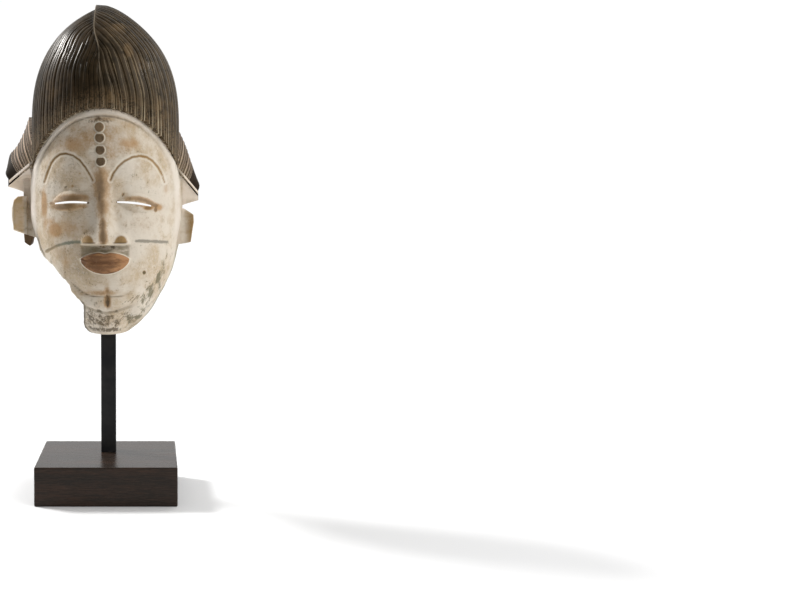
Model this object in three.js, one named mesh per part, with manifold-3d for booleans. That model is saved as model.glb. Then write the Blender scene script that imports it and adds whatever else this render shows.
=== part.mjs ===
// A carved wooden face mask with a domed, grooved coiffure, on a square steel rod in a wooden base block.
// Millimetres. +X is to the right of someone who faces the mask, +Y runs behind it, +Z is up.
// The origin is the centre of the base block's underside.

import * as THREE from 'three';
import { mergeVertices } from 'three/addons/utils/BufferGeometryUtils.js';
import Module from 'manifold-3d';

const wasm = await Module();
wasm.setup();

// Driving dimensions

const BASE = { width: 120, depth: 110, height: 33, edge: 1.0 };
const ROD = { side: 13, front: 5.3 };
const TOUCH_GAP = 0.3;

const COLLAR_BOTTOM = 143;
const MIDLINE = { lowX: 1.6, lowZ: 173, leanPerMm: -0.035 };

// The rim behind the mask lies in one plane, which leans back from the collar to the crown.
const RIM = { bottomY: 4.5, leanPerMm: 0.137, behind: 60 };

// Coiffure: an egg whose half width and depths shrink towards the top.
const HAIR = {
  centreX: -1.5, centreY: -5, top: 421.3,
  halfWidth: 63.4, widthFrom: 311, widthPower: 2.97, widthCurve: 0.78,
  front: 76, back: 60, depthFrom: 318, depthPower: 2.4, depthCurve: 0.6,
};
const RIDGE = { perSide: 44, depth: 1.3, rows: 9, crowding: 1.3, fadeIn: 0.12 };

// The parting runs from front to back over the egg, and its upper part lies left of the middle. The two
// lobes meet in a step: the right one stands proud of the left one.
const PARTING = {
  lowAngle: 81, spread: 0.42, bend: 0.5, shift: -7.6, lowShare: 0.35,
  lowFrom: 335, lowOver: 30, highFrom: 374, highOver: 24,
  rightRise: 1.7, leftDrop: 1.9, riseFrom: 362, riseOver: 40, reach: 22,
};

// Hairline: a half ellipse around the face.
const HAIRLINE = { centreX: -1.5, centreZ: 263.6, halfWidth: 65, height: 66, sideZ: 268 };
const BAND = { width: 6.6, proud: 2, rooted: 4, lowZ: 234, taperZ: 262, footWidth: 0.1 };

// Face: height, half width at the rim, and the front of the face on the midline.
const FACE_ROWS = [
  { z: COLLAR_BOTTOM, halfWidth: 22, front: -45 },
  { z: 150, halfWidth: 28, front: -50 },
  { z: 160, halfWidth: 36.8, front: -56 },
  { z: 172, halfWidth: 44.1, front: -62.5 },
  { z: 185, halfWidth: 51.3, front: -66.5 },
  { z: 197, halfWidth: 56.5, front: -69.5 },
  { z: 210, halfWidth: 59.6, front: -72 },
  { z: 225, halfWidth: 63, front: -73.5 },
  { z: 240, halfWidth: 65.6, front: -73.5 },
  { z: 255, halfWidth: 66.6, front: -74 },
  { z: 270, halfWidth: 66.8, front: -76 },
  { z: 290, halfWidth: 66, front: -78.5 },
  { z: 310, halfWidth: 63, front: -79 },
  { z: 330, halfWidth: 57, front: -76 },
  { z: 345, halfWidth: 48, front: -68 },
];
const FACE_CENTRE = { lowX: 0.3, highX: -1.2, fromZ: 205, overZ: 40 };
const FACE_GRID = { columns: 34, rowHeight: 9 };

// Hollow behind the face. Its roof and floor curve in over the same height, and it is open behind.
const HOLLOW = {
  floor: 166, ceiling: 352, wall: 9, faceWall: 13, rows: 12, columns: 20, curve: 40,
  floorShare: 0.25, roofShare: 0.02, behind: 65,
};

// Four dots stand one above another on the forehead.
const DOTS = {
  radius: 3.6, proud: 1.3, rooted: 2.7, facets: 14,
  places: [[-3.6, 313.8], [-3.3, 305.2], [-2.9, 295.5], [-2.5, 286.4]],
};

// Each brow is one groove, from its outer end or its inner end to the other.
const BROWS = [
  [
    [-51.2, 270.5], [-47.4, 280], [-44.1, 286.4], [-40.4, 290.4], [-36.1, 292.8], [-31.2, 293.3],
    [-25.3, 291.5], [-19.5, 287.4], [-15, 281.7], [-11.5, 275.9], [-9.2, 271.4],
  ],
  [
    [5.2, 271.5], [7.2, 276.6], [11.2, 282.2], [16.4, 286.8], [22.8, 290.2], [28.7, 291.3],
    [34.4, 290.4], [39.4, 287.3], [43.8, 282.2], [47, 276.5], [48.9, 270.7],
  ],
];
const BROW_GROOVE = { width: 2.4, depth: 1.3 };

// Each eye bulges between its corners and is cut through by a slit.
const EYES = [
  {
    innerX: -12.6, outerX: -45.6, z: 253.4, topZ: 263.8, lowZ: 246.4,
    slitInnerX: -13.2, slitOuterX: -39.8, tilt: -0.025,
  },
  {
    innerX: 10.4, outerX: 45.6, z: 253.9, topZ: 263.5, lowZ: 247.5,
    slitInnerX: 10.8, slitOuterX: 37.8, tilt: -0.11,
  },
];
const LID = { bulge: 6, rooted: 8, sunk: 1, steps: 12, facets: 10 };
const SLIT = { height: 2, arch: 0.8, steps: 8, before: 15, behind: 40 };
const SIGHT = { x: 39.2, z: 248.7, distance: 914 };

// The nose is narrow between the brows and flares into wings over a flat base.
const NOSE = {
  x: 0.3, bridgeZ: 273, baseZ: 219.8, bridgeHalf: 4.2, wingHalf: 19.6, tipHalf: 4, rise: 14, flare: 2.6,
  bridgeShare: 0.3, fallOver: 14, tuckShare: 0.72, tuckOver: 5, cheekShare: 0.42, rooted: 4, steps: 10,
};
const MOUTH = {
  x: 0.3, z: 204.5, half: 20, upper: 8.8, upperCurve: 1.6, lower: 9, proud: 7.5, rooted: 7,
  cornerRise: 3.2, bowDip: 0.14, bowWidth: 0.16, steps: 14,
};

// Under the mouth a crease curves across the chin, a groove runs down it, and the collar is set back.
const CHIN = {
  creaseHalf: 25, creaseZ: 176, creaseRise: 7, grooveTop: 187, grooveBottom: 167, width: 2.6, depth: 1.8,
};
const COLLAR = { edgeZ: 164, slope: 0.32, tipRound: 1.5, setBack: 3.6, half: 27, fadeOver: 8, steps: 12 };

const TRESSES = [
  {
    side: -1, ridges: 10,
    outer: [[-69.8, 14, 329], [-74.2, 14, 316.5], [-80.4, 13, 304], [-86.5, 12, 296], [-88.7, 9, 284]],
    cord: [[-59, -25, 292.5], [-72.5, -14, 283], [-85.7, -1, 273.5]],
    under: [[-69, 17, 260.5], [-79, 17, 265], [-88.5, 14, 268]],
  },
  {
    side: 1, ridges: 10,
    outer: [[60, 14, 322], [67.5, 14, 306], [73, 13, 290], [78, 9, 274]],
    cord: [[56, -25, 288], [66, -14, 278], [78.5, -1, 264]],
    under: [[63, 2, 251], [70, 2, 253.5], [79, 4, 256]],
  },
];
const TRESS = { belly: 4, inward: 14, groovedShare: 0.78, cord: 2.5, rows: 3 };

// The ears, the strip of wood between the left ear and the face, and the stub under it are upright blocks.
const BLOCKS = [
  {
    outline: [
      [-69.5, 260], [-77.8, 259.4], [-81.2, 256.4], [-83.4, 249], [-83.2, 243], [-81.8, 230], [-69.5, 226],
    ],
    front: -6, round: 3.5,
  },
  {
    outline: [[60, 249], [66, 248.6], [74.5, 243.5], [75, 237], [72, 219.5], [58, 217]],
    front: -6, round: 3.5,
  },
  {
    outline: [[-58, 276], [-73, 276], [-73, 262], [-73, 227], [-58, 222]],
    front: -3, round: 1.5,
  },
  {
    outline: [[-73.5, 227], [-64.4, 227], [-66.6, 218], [-68.6, 216.3], [-72.8, 219.4]],
    front: 0, round: 1.6,
  },
];

// The lower left of the rim is broken away: the edge of the break, seen from the front.
const BREAK_EDGE = [
  [-65, 233], [-60.5, 224], [-57.3, 215.6], [-54.2, 210.6], [-51.5, 206], [-43.6, 200.4], [-39.2, 195.4],
  [-34.6, 190.4], [-29.8, 185.6], [-28.3, 180.4], [-24, 175.3], [-18.9, 170.3], [-18.3, 168],
  [-18.8, 160], [-19.3, 153], [-18.8, 147.5], [-16.5, 144], [-12, 141],
];
const BREAK_OUTER = [[-12, 90], [-120, 90], [-120, 240], [-66, 240]];

// Blocks that cut wood away reach past it by this much.
const PAST = 160;

// Small tools

const clamp01 = (value) => Math.min(1, Math.max(0, value));
const mix = (a, b, t) => a + (b - a) * t;
const radians = (degrees) => degrees * Math.PI / 180;

function smooth(value) {
  const t = clamp01(value);
  return t * t * (3 - 2 * t);
}

// A smooth curve through rows of numbers: each value reads as a function of the key.
function through(rows, key, value) {
  const points = rows.map((row) => new THREE.Vector2(row[key], row[value]));
  const slopeAt = (i) => {
    const before = points[Math.max(i - 1, 0)];
    const after = points[Math.min(i + 1, points.length - 1)];
    return (after.y - before.y) / (after.x - before.x);
  };
  return (at) => {
    const last = points.length - 2;
    let i = points.findIndex((point, n) => n > 0 && at < point.x) - 1;
    if (i < 0) i = at <= points[0].x ? 0 : last;
    const span = points[i + 1].x - points[i].x;
    const t = clamp01((at - points[i].x) / span);
    const square = t * t;
    const cube = square * t;
    return points[i].y * (2 * cube - 3 * square + 1) + slopeAt(i) * span * (cube - 2 * square + t)
      + points[i + 1].y * (3 * square - 2 * cube) + slopeAt(i + 1) * span * (cube - square);
  };
}

function alongPoints(points, t) {
  const curve = new THREE.CatmullRomCurve3(points.map((point) => new THREE.Vector3(...point)));
  return curve.getPoint(t).toArray();
}

// A closed solid from points and triangles, turned so that its faces point out.
function solidOf(points, triangles) {
  let volume = 0;
  for (const [a, b, c] of triangles) {
    const [p, q, r] = [points[a], points[b], points[c]];
    volume += p[0] * (q[1] * r[2] - q[2] * r[1]) + p[1] * (q[2] * r[0] - q[0] * r[2])
      + p[2] * (q[0] * r[1] - q[1] * r[0]);
  }
  const facing = volume > 0 ? triangles : triangles.map(([a, b, c]) => [a, c, b]);
  return new wasm.Manifold(new wasm.Mesh({
    numProp: 3,
    vertProperties: new Float32Array(points.flat()),
    triVerts: new Uint32Array(facing.flat()),
  }));
}

function solidOfGeometry(geometry) {
  const bare = geometry.clone();
  bare.deleteAttribute('normal');
  bare.deleteAttribute('uv');
  const merged = mergeVertices(bare, 1e-4);
  return new wasm.Manifold(new wasm.Mesh({
    numProp: 3,
    vertProperties: new Float32Array(merged.attributes.position.array),
    triVerts: new Uint32Array(merged.index.array),
  }));
}

// A solid skinned over rings of equal count, closed at both ends.
function skin(rings) {
  const count = rings[0].length;
  const points = rings.flat();
  const triangles = [];
  for (let i = 0; i < rings.length - 1; i += 1) {
    for (let j = 0; j < count; j += 1) {
      const next = (j + 1) % count;
      const [a, b, c, d] = [i * count + j, i * count + next, (i + 1) * count + next, (i + 1) * count + j];
      triangles.push([a, b, c], [a, c, d]);
    }
  }
  for (const [start, flip] of [[0, true], [(rings.length - 1) * count, false]]) {
    const middle = [0, 1, 2].map((axis) => {
      const sum = points.slice(start, start + count).reduce((total, point) => total + point[axis], 0);
      return sum / count;
    });
    points.push(middle);
    for (let j = 0; j < count; j += 1) {
      const next = (j + 1) % count;
      const [a, b] = flip ? [start + next, start + j] : [start + j, start + next];
      triangles.push([points.length - 1, a, b]);
    }
  }
  return solidOf(points, triangles);
}

const rimY = (z) => RIM.bottomY + RIM.leanPerMm * (z - COLLAR_BOTTOM);
const midlineX = (z) => MIDLINE.lowX + MIDLINE.leanPerMm * (z - MIDLINE.lowZ);

// Face surface

const faceHalfWidth = through(FACE_ROWS, 'z', 'halfWidth');
const faceFront = through(FACE_ROWS, 'z', 'front');
const faceCentreX = (z) => (
  mix(FACE_CENTRE.lowX, FACE_CENTRE.highX, smooth((z - FACE_CENTRE.fromZ) / FACE_CENTRE.overZ)));

function faceY(x, z) {
  const across = clamp01(Math.abs(x - faceCentreX(z)) / faceHalfWidth(z));
  return mix(rimY(z), faceFront(z), Math.sqrt(1 - across * across));
}

function faceForm() {
  const top = FACE_ROWS[FACE_ROWS.length - 1].z;
  const heights = [];
  for (let z = COLLAR_BOTTOM; z < top; z += FACE_GRID.rowHeight) heights.push(z);
  heights.push(top);
  const rings = heights.map((z) => {
    const ring = [];
    for (let j = 0; j <= FACE_GRID.columns; j += 1) {
      const angle = Math.PI * j / FACE_GRID.columns;
      const x = faceCentreX(z) - faceHalfWidth(z) * Math.cos(angle);
      ring.push([x, mix(rimY(z), faceFront(z), Math.sin(angle)), z]);
    }
    const [left, right] = [ring[0], ring[FACE_GRID.columns]];
    ring.push([right[0], RIM.behind, z], [left[0], RIM.behind, z]);
    return ring;
  });
  return skin(rings);
}

function hollowForm() {
  const rings = [];
  for (let i = 0; i <= HOLLOW.rows; i += 1) {
    const z = mix(HOLLOW.floor, HOLLOW.ceiling, i / HOLLOW.rows);
    const roof = Math.sqrt(1 - clamp01((z - HOLLOW.ceiling) / HOLLOW.curve + 1) ** 2 + HOLLOW.roofShare);
    const floor = Math.sqrt(clamp01((z - HOLLOW.floor) / HOLLOW.curve + HOLLOW.floorShare));
    const share = Math.min(roof, floor);
    const half = (faceHalfWidth(z) - HOLLOW.wall) * share;
    const deep = mix(rimY(z), faceFront(z) + HOLLOW.faceWall, share);
    const ring = [];
    for (let j = 0; j <= HOLLOW.columns; j += 1) {
      const angle = Math.PI * j / HOLLOW.columns;
      ring.push([faceCentreX(z) - half * Math.cos(angle), mix(rimY(z), deep, Math.sin(angle)), z]);
    }
    ring.push([faceCentreX(z) + half, HOLLOW.behind, z], [faceCentreX(z) - half, HOLLOW.behind, z]);
    rings.push(ring);
  }
  return skin(rings);
}

// Coiffure surface

const hairWidthAt = (z) => {
  const t = clamp01((z - HAIR.widthFrom) / (HAIR.top - HAIR.widthFrom));
  return HAIR.halfWidth * (1 - t ** HAIR.widthPower) ** HAIR.widthCurve;
};
const hairDepthAt = (z, depth) => {
  const t = clamp01((z - HAIR.depthFrom) / (HAIR.top - HAIR.depthFrom));
  return depth * (1 - t ** HAIR.depthPower) ** HAIR.depthCurve;
};

// Steepness on the egg, 0 at the top and 90 degrees where the sides turn vertical.
function steepnessAt(z) {
  if (z < HAIR.widthFrom) return Math.PI / 2 + (HAIR.widthFrom - z) / HAIR.halfWidth;
  return Math.asin(hairWidthAt(z) / HAIR.halfWidth);
}
function heightAt(steepness) {
  if (steepness > Math.PI / 2) return HAIR.widthFrom - (steepness - Math.PI / 2) * HAIR.halfWidth;
  const t = (1 - Math.sin(steepness) ** (1 / HAIR.widthCurve)) ** (1 / HAIR.widthPower);
  return mix(HAIR.widthFrom, HAIR.top, t);
}

function hairlineZ(x) {
  const across = (x - HAIRLINE.centreX) / HAIRLINE.halfWidth;
  const arch = HAIRLINE.centreZ + HAIRLINE.height * Math.sqrt(clamp01(1 - across * across));
  return Math.max(HAIRLINE.sideZ, arch);
}

// A ridge leaves the parting, bends down and then runs straight down the egg. turn is the angle around the
// egg where it ends, 0 at the front and 180 degrees behind, and run is how far along it a point is.
function hairPoint(side, turn, run, relief) {
  const behind = turn > Math.PI / 2;
  const towards = behind ? -1 : 1;
  const fromEnds = clamp01(1 - Math.abs(1 - turn / (Math.PI / 2)));
  const startSteep = radians(PARTING.lowAngle) * (1 - fromEnds ** PARTING.spread);
  const endX = HAIR.centreX + side * HAIR.halfWidth * Math.sin(turn);
  const endSteep = steepnessAt(behind ? HAIRLINE.sideZ : hairlineZ(endX));
  const bendSteep = mix(startSteep, endSteep, PARTING.bend);
  const pull = bendSteep * 2 * run * (1 - run) + endSteep * run ** 2;
  const sideways = Math.sin(turn) * pull;
  const forward = towards * startSteep * (1 - run) ** 2 + Math.cos(turn) * pull;
  const steep = Math.hypot(sideways, forward);
  const [sine, cosine] = steep > 1e-6 ? [sideways / steep, forward / steep] : [0, towards];
  const z = heightAt(steep);
  const depth = hairDepthAt(z, cosine > 0 ? HAIR.front : HAIR.back);
  const x = side * hairWidthAt(z) * sine;
  const y = -depth * cosine;
  const near = Math.exp(-((x / PARTING.reach) ** 2));
  const high = smooth((z - PARTING.riseFrom) / PARTING.riseOver);
  const lift = (side > 0 ? PARTING.rightRise : -PARTING.leftDrop) * near * high;
  const up = Math.max(0, z - HAIR.widthFrom) / (HAIR.top - HAIR.widthFrom);
  const out = new THREE.Vector3(x / HAIR.halfWidth, y / HAIR.front, up);
  out.normalize().multiplyScalar(lift - relief * smooth(run / RIDGE.fadeIn));
  const lowShift = PARTING.lowShare * smooth((z - PARTING.lowFrom) / PARTING.lowOver);
  const highShift = (1 - PARTING.lowShare) * smooth((z - PARTING.highFrom) / PARTING.highOver);
  const shift = PARTING.shift * (lowShift + highShift) * cosine ** 2;
  return [HAIR.centreX + x + shift + out.x, HAIR.centreY + y + out.y, z + out.z];
}

function coiffure() {
  const columns = RIDGE.perSide * 2;
  const rows = RIDGE.rows;
  const points = [];
  const grid = [-1, 1].map((side) => {
    const lines = [];
    for (let j = 0; j <= columns; j += 1) {
      const line = [];
      const relief = j % 2 ? RIDGE.depth : 0;
      for (let i = 0; i <= rows; i += 1) {
        points.push(hairPoint(side, Math.PI * j / columns, (i / rows) ** RIDGE.crowding, relief));
        line.push(points.length - 1);
      }
      lines.push(line);
    }
    return lines;
  });
  const [left, right] = grid;
  left[0] = right[0];
  left[columns] = right[columns];
  const triangles = [];
  const quad = (a, b, c, d) => {
    if (a !== b && b !== c && a !== c) triangles.push([a, b, c]);
    if (a !== c && c !== d && a !== d) triangles.push([a, c, d]);
  };
  points.push([HAIR.centreX, 0, HAIRLINE.centreZ + HAIRLINE.height / 2]);
  const inside = points.length - 1;
  for (let j = 0; j < columns; j += 1) {
    for (let i = 0; i < rows; i += 1) {
      quad(right[j][i], right[j][i + 1], right[j + 1][i + 1], right[j + 1][i]);
      quad(left[j][i], left[j + 1][i], left[j + 1][i + 1], left[j][i + 1]);
    }
    quad(left[j][0], right[j][0], right[j + 1][0], left[j + 1][0]);
    triangles.push([right[j][rows], inside, right[j + 1][rows]]);
    triangles.push([left[j][rows], left[j + 1][rows], inside]);
  }
  const used = [...new Set(triangles.flat())];
  const place = new Map(used.map((old, fresh) => [old, fresh]));
  const renumbered = triangles.map((triangle) => triangle.map((n) => place.get(n)));
  return solidOf(used.map((old) => points[old]), renumbered);
}

// A bead of the given section laid along a path on the face.
function bead(path, half, outward, inward, sides = 8) {
  const rings = path.map(([x, z, width = half], n) => {
    const before = path[Math.max(n - 1, 0)];
    const after = path[Math.min(n + 1, path.length - 1)];
    const along = new THREE.Vector2(after[0] - before[0], after[1] - before[1]).normalize();
    const ring = [];
    for (let j = 0; j < sides; j += 1) {
      const angle = 2 * Math.PI * j / sides;
      const across = width * Math.cos(angle);
      const lift = Math.sin(angle) * (Math.sin(angle) > 0 ? outward * width / half : inward);
      const [px, pz] = [x - along.y * across, z + along.x * across];
      ring.push([px, faceY(px, pz) - lift, pz]);
    }
    return ring;
  });
  return skin(rings);
}

// The hairline band arches over the face and fades out down both sides.
function bandPath() {
  const half = HAIRLINE.halfWidth - BAND.width / 2;
  const rise = HAIRLINE.height - BAND.width / 2;
  const arch = [];
  const steps = 20;
  for (let i = 0; i <= steps; i += 1) {
    const angle = Math.PI * i / steps;
    const [x, z] = [HAIRLINE.centreX - half * Math.cos(angle), HAIRLINE.centreZ + rise * Math.sin(angle)];
    arch.push([x, z, BAND.width / 2]);
  }
  const foot = (side) => [0, 0.5].map((t) => {
    const width = BAND.width / 2 * mix(BAND.footWidth, 1, smooth(t));
    return [HAIRLINE.centreX + side * half, mix(BAND.lowZ, BAND.taperZ, t), width];
  });
  return [...foot(-1), ...arch, ...foot(1).reverse()];
}

const eyeHeight = (eye, x) => eye.z + eye.tilt * Math.abs(x - eye.innerX);

// 0 just outside the ends of a lid or a slit, 1 in its middle.
const swellAt = (t, margin, power) => Math.sin(Math.PI * mix(margin, 1 - margin, t)) ** power;

function eyelid(eye) {
  const rings = [];
  for (let i = 0; i <= LID.steps; i += 1) {
    const t = i / LID.steps;
    const x = mix(eye.innerX, eye.outerX, t);
    const z = eyeHeight(eye, x);
    const swell = swellAt(t, 0.03, 0.8);
    const ring = [];
    for (let j = 0; j < LID.facets; j += 1) {
      const angle = 2 * Math.PI * j / LID.facets;
      const reach = Math.cos(angle) > 0 ? eye.topZ - eye.z : eye.z - eye.lowZ;
      const out = Math.sin(angle) * (Math.sin(angle) > 0 ? LID.bulge * swell : LID.rooted);
      ring.push([x, faceY(x, z) - out + LID.sunk, z + Math.cos(angle) * reach * swell]);
    }
    rings.push(ring);
  }
  return skin(rings);
}

// A slit widens a little behind, so that one looks straight through both from where SIGHT stands.
function eyeSlit(eye) {
  const rings = [];
  const share = (SLIT.before + SLIT.behind) / SIGHT.distance;
  for (let i = 0; i <= SLIT.steps; i += 1) {
    const t = i / SLIT.steps;
    const x = mix(eye.slitInnerX, eye.slitOuterX, t);
    const z = eyeHeight(eye, x) + SLIT.arch * Math.sin(Math.PI * t);
    const half = SLIT.height / 2 * mix(0.35, 1, swellAt(t, 0.08, 0.5));
    const [near, far] = [faceY(x, z) - SLIT.before, faceY(x, z) + SLIT.behind];
    const [farX, farZ] = [x + (x - SIGHT.x) * share, z + (z - SIGHT.z) * share];
    const [front, back] = [[x, near, z], [farX, far, farZ]];
    const ring = [[front, 1], [front, -1], [back, -1], [back, 1]];
    rings.push(ring.map(([place, side]) => [place[0], place[1], place[2] + side * half]));
  }
  return skin(rings);
}

function nose() {
  const rings = [];
  for (let i = 0; i <= NOSE.steps; i += 1) {
    const t = i / NOSE.steps;
    const z = mix(NOSE.baseZ, NOSE.bridgeZ, t);
    const lean = midlineX(z) - midlineX(NOSE.baseZ);
    const wing = mix(NOSE.bridgeHalf, NOSE.wingHalf, (1 - t) ** NOSE.flare);
    const ridge = mix(NOSE.tipHalf, NOSE.bridgeHalf * 0.8, t);
    const fall = smooth((NOSE.bridgeZ - z) / NOSE.fallOver);
    const tuck = mix(NOSE.tuckShare, 1, smooth((z - NOSE.baseZ) / NOSE.tuckOver));
    const rise = NOSE.rise * mix(1, NOSE.bridgeShare, t) * fall * tuck;
    const half = [[wing, NOSE.rooted], [wing, -0.5], [wing * 0.8, -rise * NOSE.cheekShare], [ridge, -rise]];
    const both = [...half.map(([dx, dy]) => [-dx, dy]), ...half.reverse()];
    rings.push(both.map(([dx, dy]) => {
      const x = NOSE.x + lean + dx;
      return [x, faceY(x, z) + dy, z];
    }));
  }
  return skin(rings);
}

function mouth() {
  const rings = [];
  for (let i = 0; i <= MOUTH.steps; i += 1) {
    const across = 2 * i / MOUTH.steps - 1;
    const x = MOUTH.x + MOUTH.half * across;
    const swell = Math.sqrt(1.02 - across ** 2);
    const bow = 1 - MOUTH.bowDip * Math.exp(-((across / MOUTH.bowWidth) ** 2));
    const top = MOUTH.upper * swell ** MOUTH.upperCurve * bow;
    const bottom = -MOUTH.lower * swell;
    const proud = MOUTH.proud * swell;
    const corner = MOUTH.cornerRise * across ** 2;
    const at = (dz, out) => [x, faceY(x, MOUTH.z) - out, MOUTH.z + corner + dz];
    rings.push([
      at(0, -MOUTH.rooted), at(top, 0.2 * proud), at(top * 0.45, proud), at(top * 0.14, proud * 0.85),
      at(0, proud * 0.45), at(bottom * 0.16, proud * 0.85), at(bottom * 0.55, proud * 0.9),
      at(bottom, 0.2 * proud),
    ]);
  }
  return skin(rings);
}

// A side tress: ridges run from its outer edge forward and down to the cord that edges it.
function tress({ side, ridges, outer, cord, under }) {
  const rings = [];
  const columns = ridges * 2;
  for (let j = -1; j <= columns; j += 1) {
    const t = Math.max(j, 0) / columns;
    const inward = j < 0 ? -side * TRESS.inward : 0;
    const relief = j % 2 && t < TRESS.groovedShare ? RIDGE.depth : 0;
    const [start, end, low] = [outer, cord, under].map((points) => alongPoints(points, t));
    const ring = [];
    for (let i = 0; i <= TRESS.rows; i += 1) {
      const v = i / TRESS.rows;
      const belly = TRESS.belly * Math.sin(Math.PI * v);
      ring.push([
        mix(start[0], end[0], v) + inward + side * 0.4 * (belly - relief),
        mix(start[1], end[1], v) - belly + relief,
        mix(start[2], end[2], v),
      ]);
    }
    ring.push([end[0] + inward, end[1] + TRESS.cord, end[2] - TRESS.cord], [low[0] + inward, low[1], low[2]]);
    ring.push([low[0] + inward, RIM.behind, low[2]], [start[0] + inward, RIM.behind, start[2]]);
    rings.push(ring);
  }
  return skin(rings);
}

// An upright block of the given outline, seen from the front, with its front edges rounded.
function uprightBlock({ outline, front, round }) {
  const middle = [0, 1].map((axis) => outline.reduce((sum, point) => sum + point[axis], 0) / outline.length);
  const ringAt = (y, inset) => outline.map(([x, z]) => {
    const away = new THREE.Vector2(x - middle[0], z - middle[1]);
    const scale = 1 - inset / away.length();
    return [middle[0] + away.x * scale, y, middle[1] + away.y * scale];
  });
  const edge = [ringAt(front, round), ringAt(front + round * 0.34, round * 0.4), ringAt(front + round, 0)];
  return skin([...edge, ringAt(RIM.behind, 0)]);
}

function block(width, depth, height, x, y, z) {
  const geometry = new THREE.BoxGeometry(width, depth, height);
  geometry.translate(x, y, z);
  return solidOfGeometry(geometry);
}

function breakAway() {
  const outline = [...BREAK_EDGE, ...BREAK_OUTER];
  const shape = new THREE.Shape(outline.map(([x, z]) => new THREE.Vector2(x, z)));
  const geometry = new THREE.ExtrudeGeometry(shape, { depth: PAST, bevelEnabled: false });
  geometry.rotateX(Math.PI / 2);
  geometry.translate(0, RIM.behind, 0);
  return solidOfGeometry(geometry);
}

function behindRim() {
  const [low, high] = [0, HAIR.top + PAST];
  return skin([-PAST, PAST].map((x) => (
    [[x, rimY(low), low], [x, PAST, low], [x, PAST, high], [x, rimY(high), high]])));
}

function dot([x, z]) {
  const length = DOTS.proud + DOTS.rooted;
  const geometry = new THREE.CylinderGeometry(DOTS.radius, DOTS.radius, length, DOTS.facets);
  geometry.translate(x, faceY(x, z) - DOTS.proud + length / 2, z);
  return solidOfGeometry(geometry);
}

// A groove cut along a path on the face.
const groove = (path, width, depth) => bead(path, width / 2, depth, depth, 6);

function chinCrease() {
  const path = [];
  const steps = 10;
  for (let i = 0; i <= steps; i += 1) {
    const across = 2 * i / steps - 1;
    const x = midlineX(CHIN.creaseZ) + CHIN.creaseHalf * across;
    path.push([x, CHIN.creaseZ + CHIN.creaseRise * Math.abs(across) ** 3]);
  }
  return groove(path, CHIN.width, CHIN.depth);
}

function chinGroove() {
  const middle = (CHIN.grooveTop + CHIN.grooveBottom) / 2;
  const path = [CHIN.grooveTop, middle, CHIN.grooveBottom].map((z) => [midlineX(z), z]);
  return groove(path, CHIN.width, CHIN.depth);
}

// What is cut off the face under the chin, so that the collar lies back.
function collarCut() {
  const rings = [];
  for (let i = 0; i <= COLLAR.steps; i += 1) {
    const across = COLLAR.half * (2 * i / COLLAR.steps - 1);
    const x = midlineX(CHIN.creaseZ) + across;
    const top = COLLAR.edgeZ + Math.hypot(COLLAR.slope * across, COLLAR.tipRound) - COLLAR.tipRound;
    const back = COLLAR.setBack * smooth((COLLAR.half - Math.abs(across)) / COLLAR.fadeOver);
    const heights = [top, mix(top, COLLAR_BOTTOM, 0.5), COLLAR_BOTTOM, COLLAR_BOTTOM - 1];
    const inner = heights.map((z) => [x, faceY(x, z) + back, z]);
    rings.push([[x, -PAST, top], ...inner, [x, -PAST, COLLAR_BOTTOM - 1]]);
  }
  return skin(rings);
}

function carvedMask() {
  let wood = coiffure().add(faceForm());
  wood = wood.add(bead(bandPath(), BAND.width / 2, BAND.proud, BAND.rooted));
  for (const each of TRESSES) wood = wood.add(tress(each));
  wood = wood.subtract(collarCut()).subtract(breakAway());
  for (const each of BLOCKS) wood = wood.add(uprightBlock(each));
  for (const eye of EYES) wood = wood.add(eyelid(eye));
  wood = wood.add(nose()).add(mouth());
  for (const place of DOTS.places) wood = wood.add(dot(place));
  for (const brow of BROWS) wood = wood.subtract(groove(brow, BROW_GROOVE.width, BROW_GROOVE.depth));
  wood = wood.subtract(chinCrease()).subtract(chinGroove());
  wood = wood.subtract(hollowForm());
  for (const eye of EYES) wood = wood.subtract(eyeSlit(eye));
  wood = wood.subtract(behindRim());
  const slotSide = ROD.side + 2 * TOUCH_GAP;
  const slotMiddle = ROD.front - TOUCH_GAP + PAST / 2;
  return wood.subtract(block(slotSide, PAST, HOLLOW.ceiling, 0, slotMiddle, HOLLOW.ceiling / 2));
}

function meshOf(name, solid, material) {
  const { vertProperties, triVerts } = solid.getMesh();
  const geometry = new THREE.BufferGeometry();
  geometry.setAttribute('position', new THREE.BufferAttribute(new Float32Array(vertProperties), 3));
  geometry.setIndex(new THREE.BufferAttribute(new Uint32Array(triVerts), 1));
  const mesh = new THREE.Mesh(geometry, material);
  mesh.name = name;
  return mesh;
}

// The base block: a plain block with a small bevel all round.
function baseBlock() {
  const { width, depth, height, edge } = BASE;
  const ringAt = (z, inset) => [[-1, -1], [1, -1], [1, 1], [-1, 1]].map(([sx, sy]) => (
    [sx * (width / 2 - inset), sy * (depth / 2 - inset), z]));
  return skin([ringAt(0, edge), ringAt(edge, 0), ringAt(height - edge, 0), ringAt(height, edge)]);
}

const paintedWood = new THREE.MeshStandardMaterial({ color: 0xc9b79c, roughness: 0.8, metalness: 0 });
const blackSteel = new THREE.MeshStandardMaterial({ color: 0x1c1b1a, roughness: 0.5, metalness: 0.4 });
const stainedWood = new THREE.MeshStandardMaterial({ color: 0x2e2723, roughness: 0.35, metalness: 0 });

const stand = new THREE.Group();
stand.add(meshOf('base', baseBlock(), stainedWood));
const rodTop = HOLLOW.ceiling - TOUCH_GAP;
const rodFoot = BASE.height + TOUCH_GAP;
const rodMiddle = [0, ROD.front + ROD.side / 2, (rodTop + rodFoot) / 2];
const rodBar = block(ROD.side, ROD.side, rodTop - rodFoot, ...rodMiddle);
stand.add(meshOf('rod', rodBar, blackSteel));
stand.add(meshOf('mask', carvedMask(), paintedWood));

export default stand;
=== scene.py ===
from math import pi, radians, sin

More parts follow.
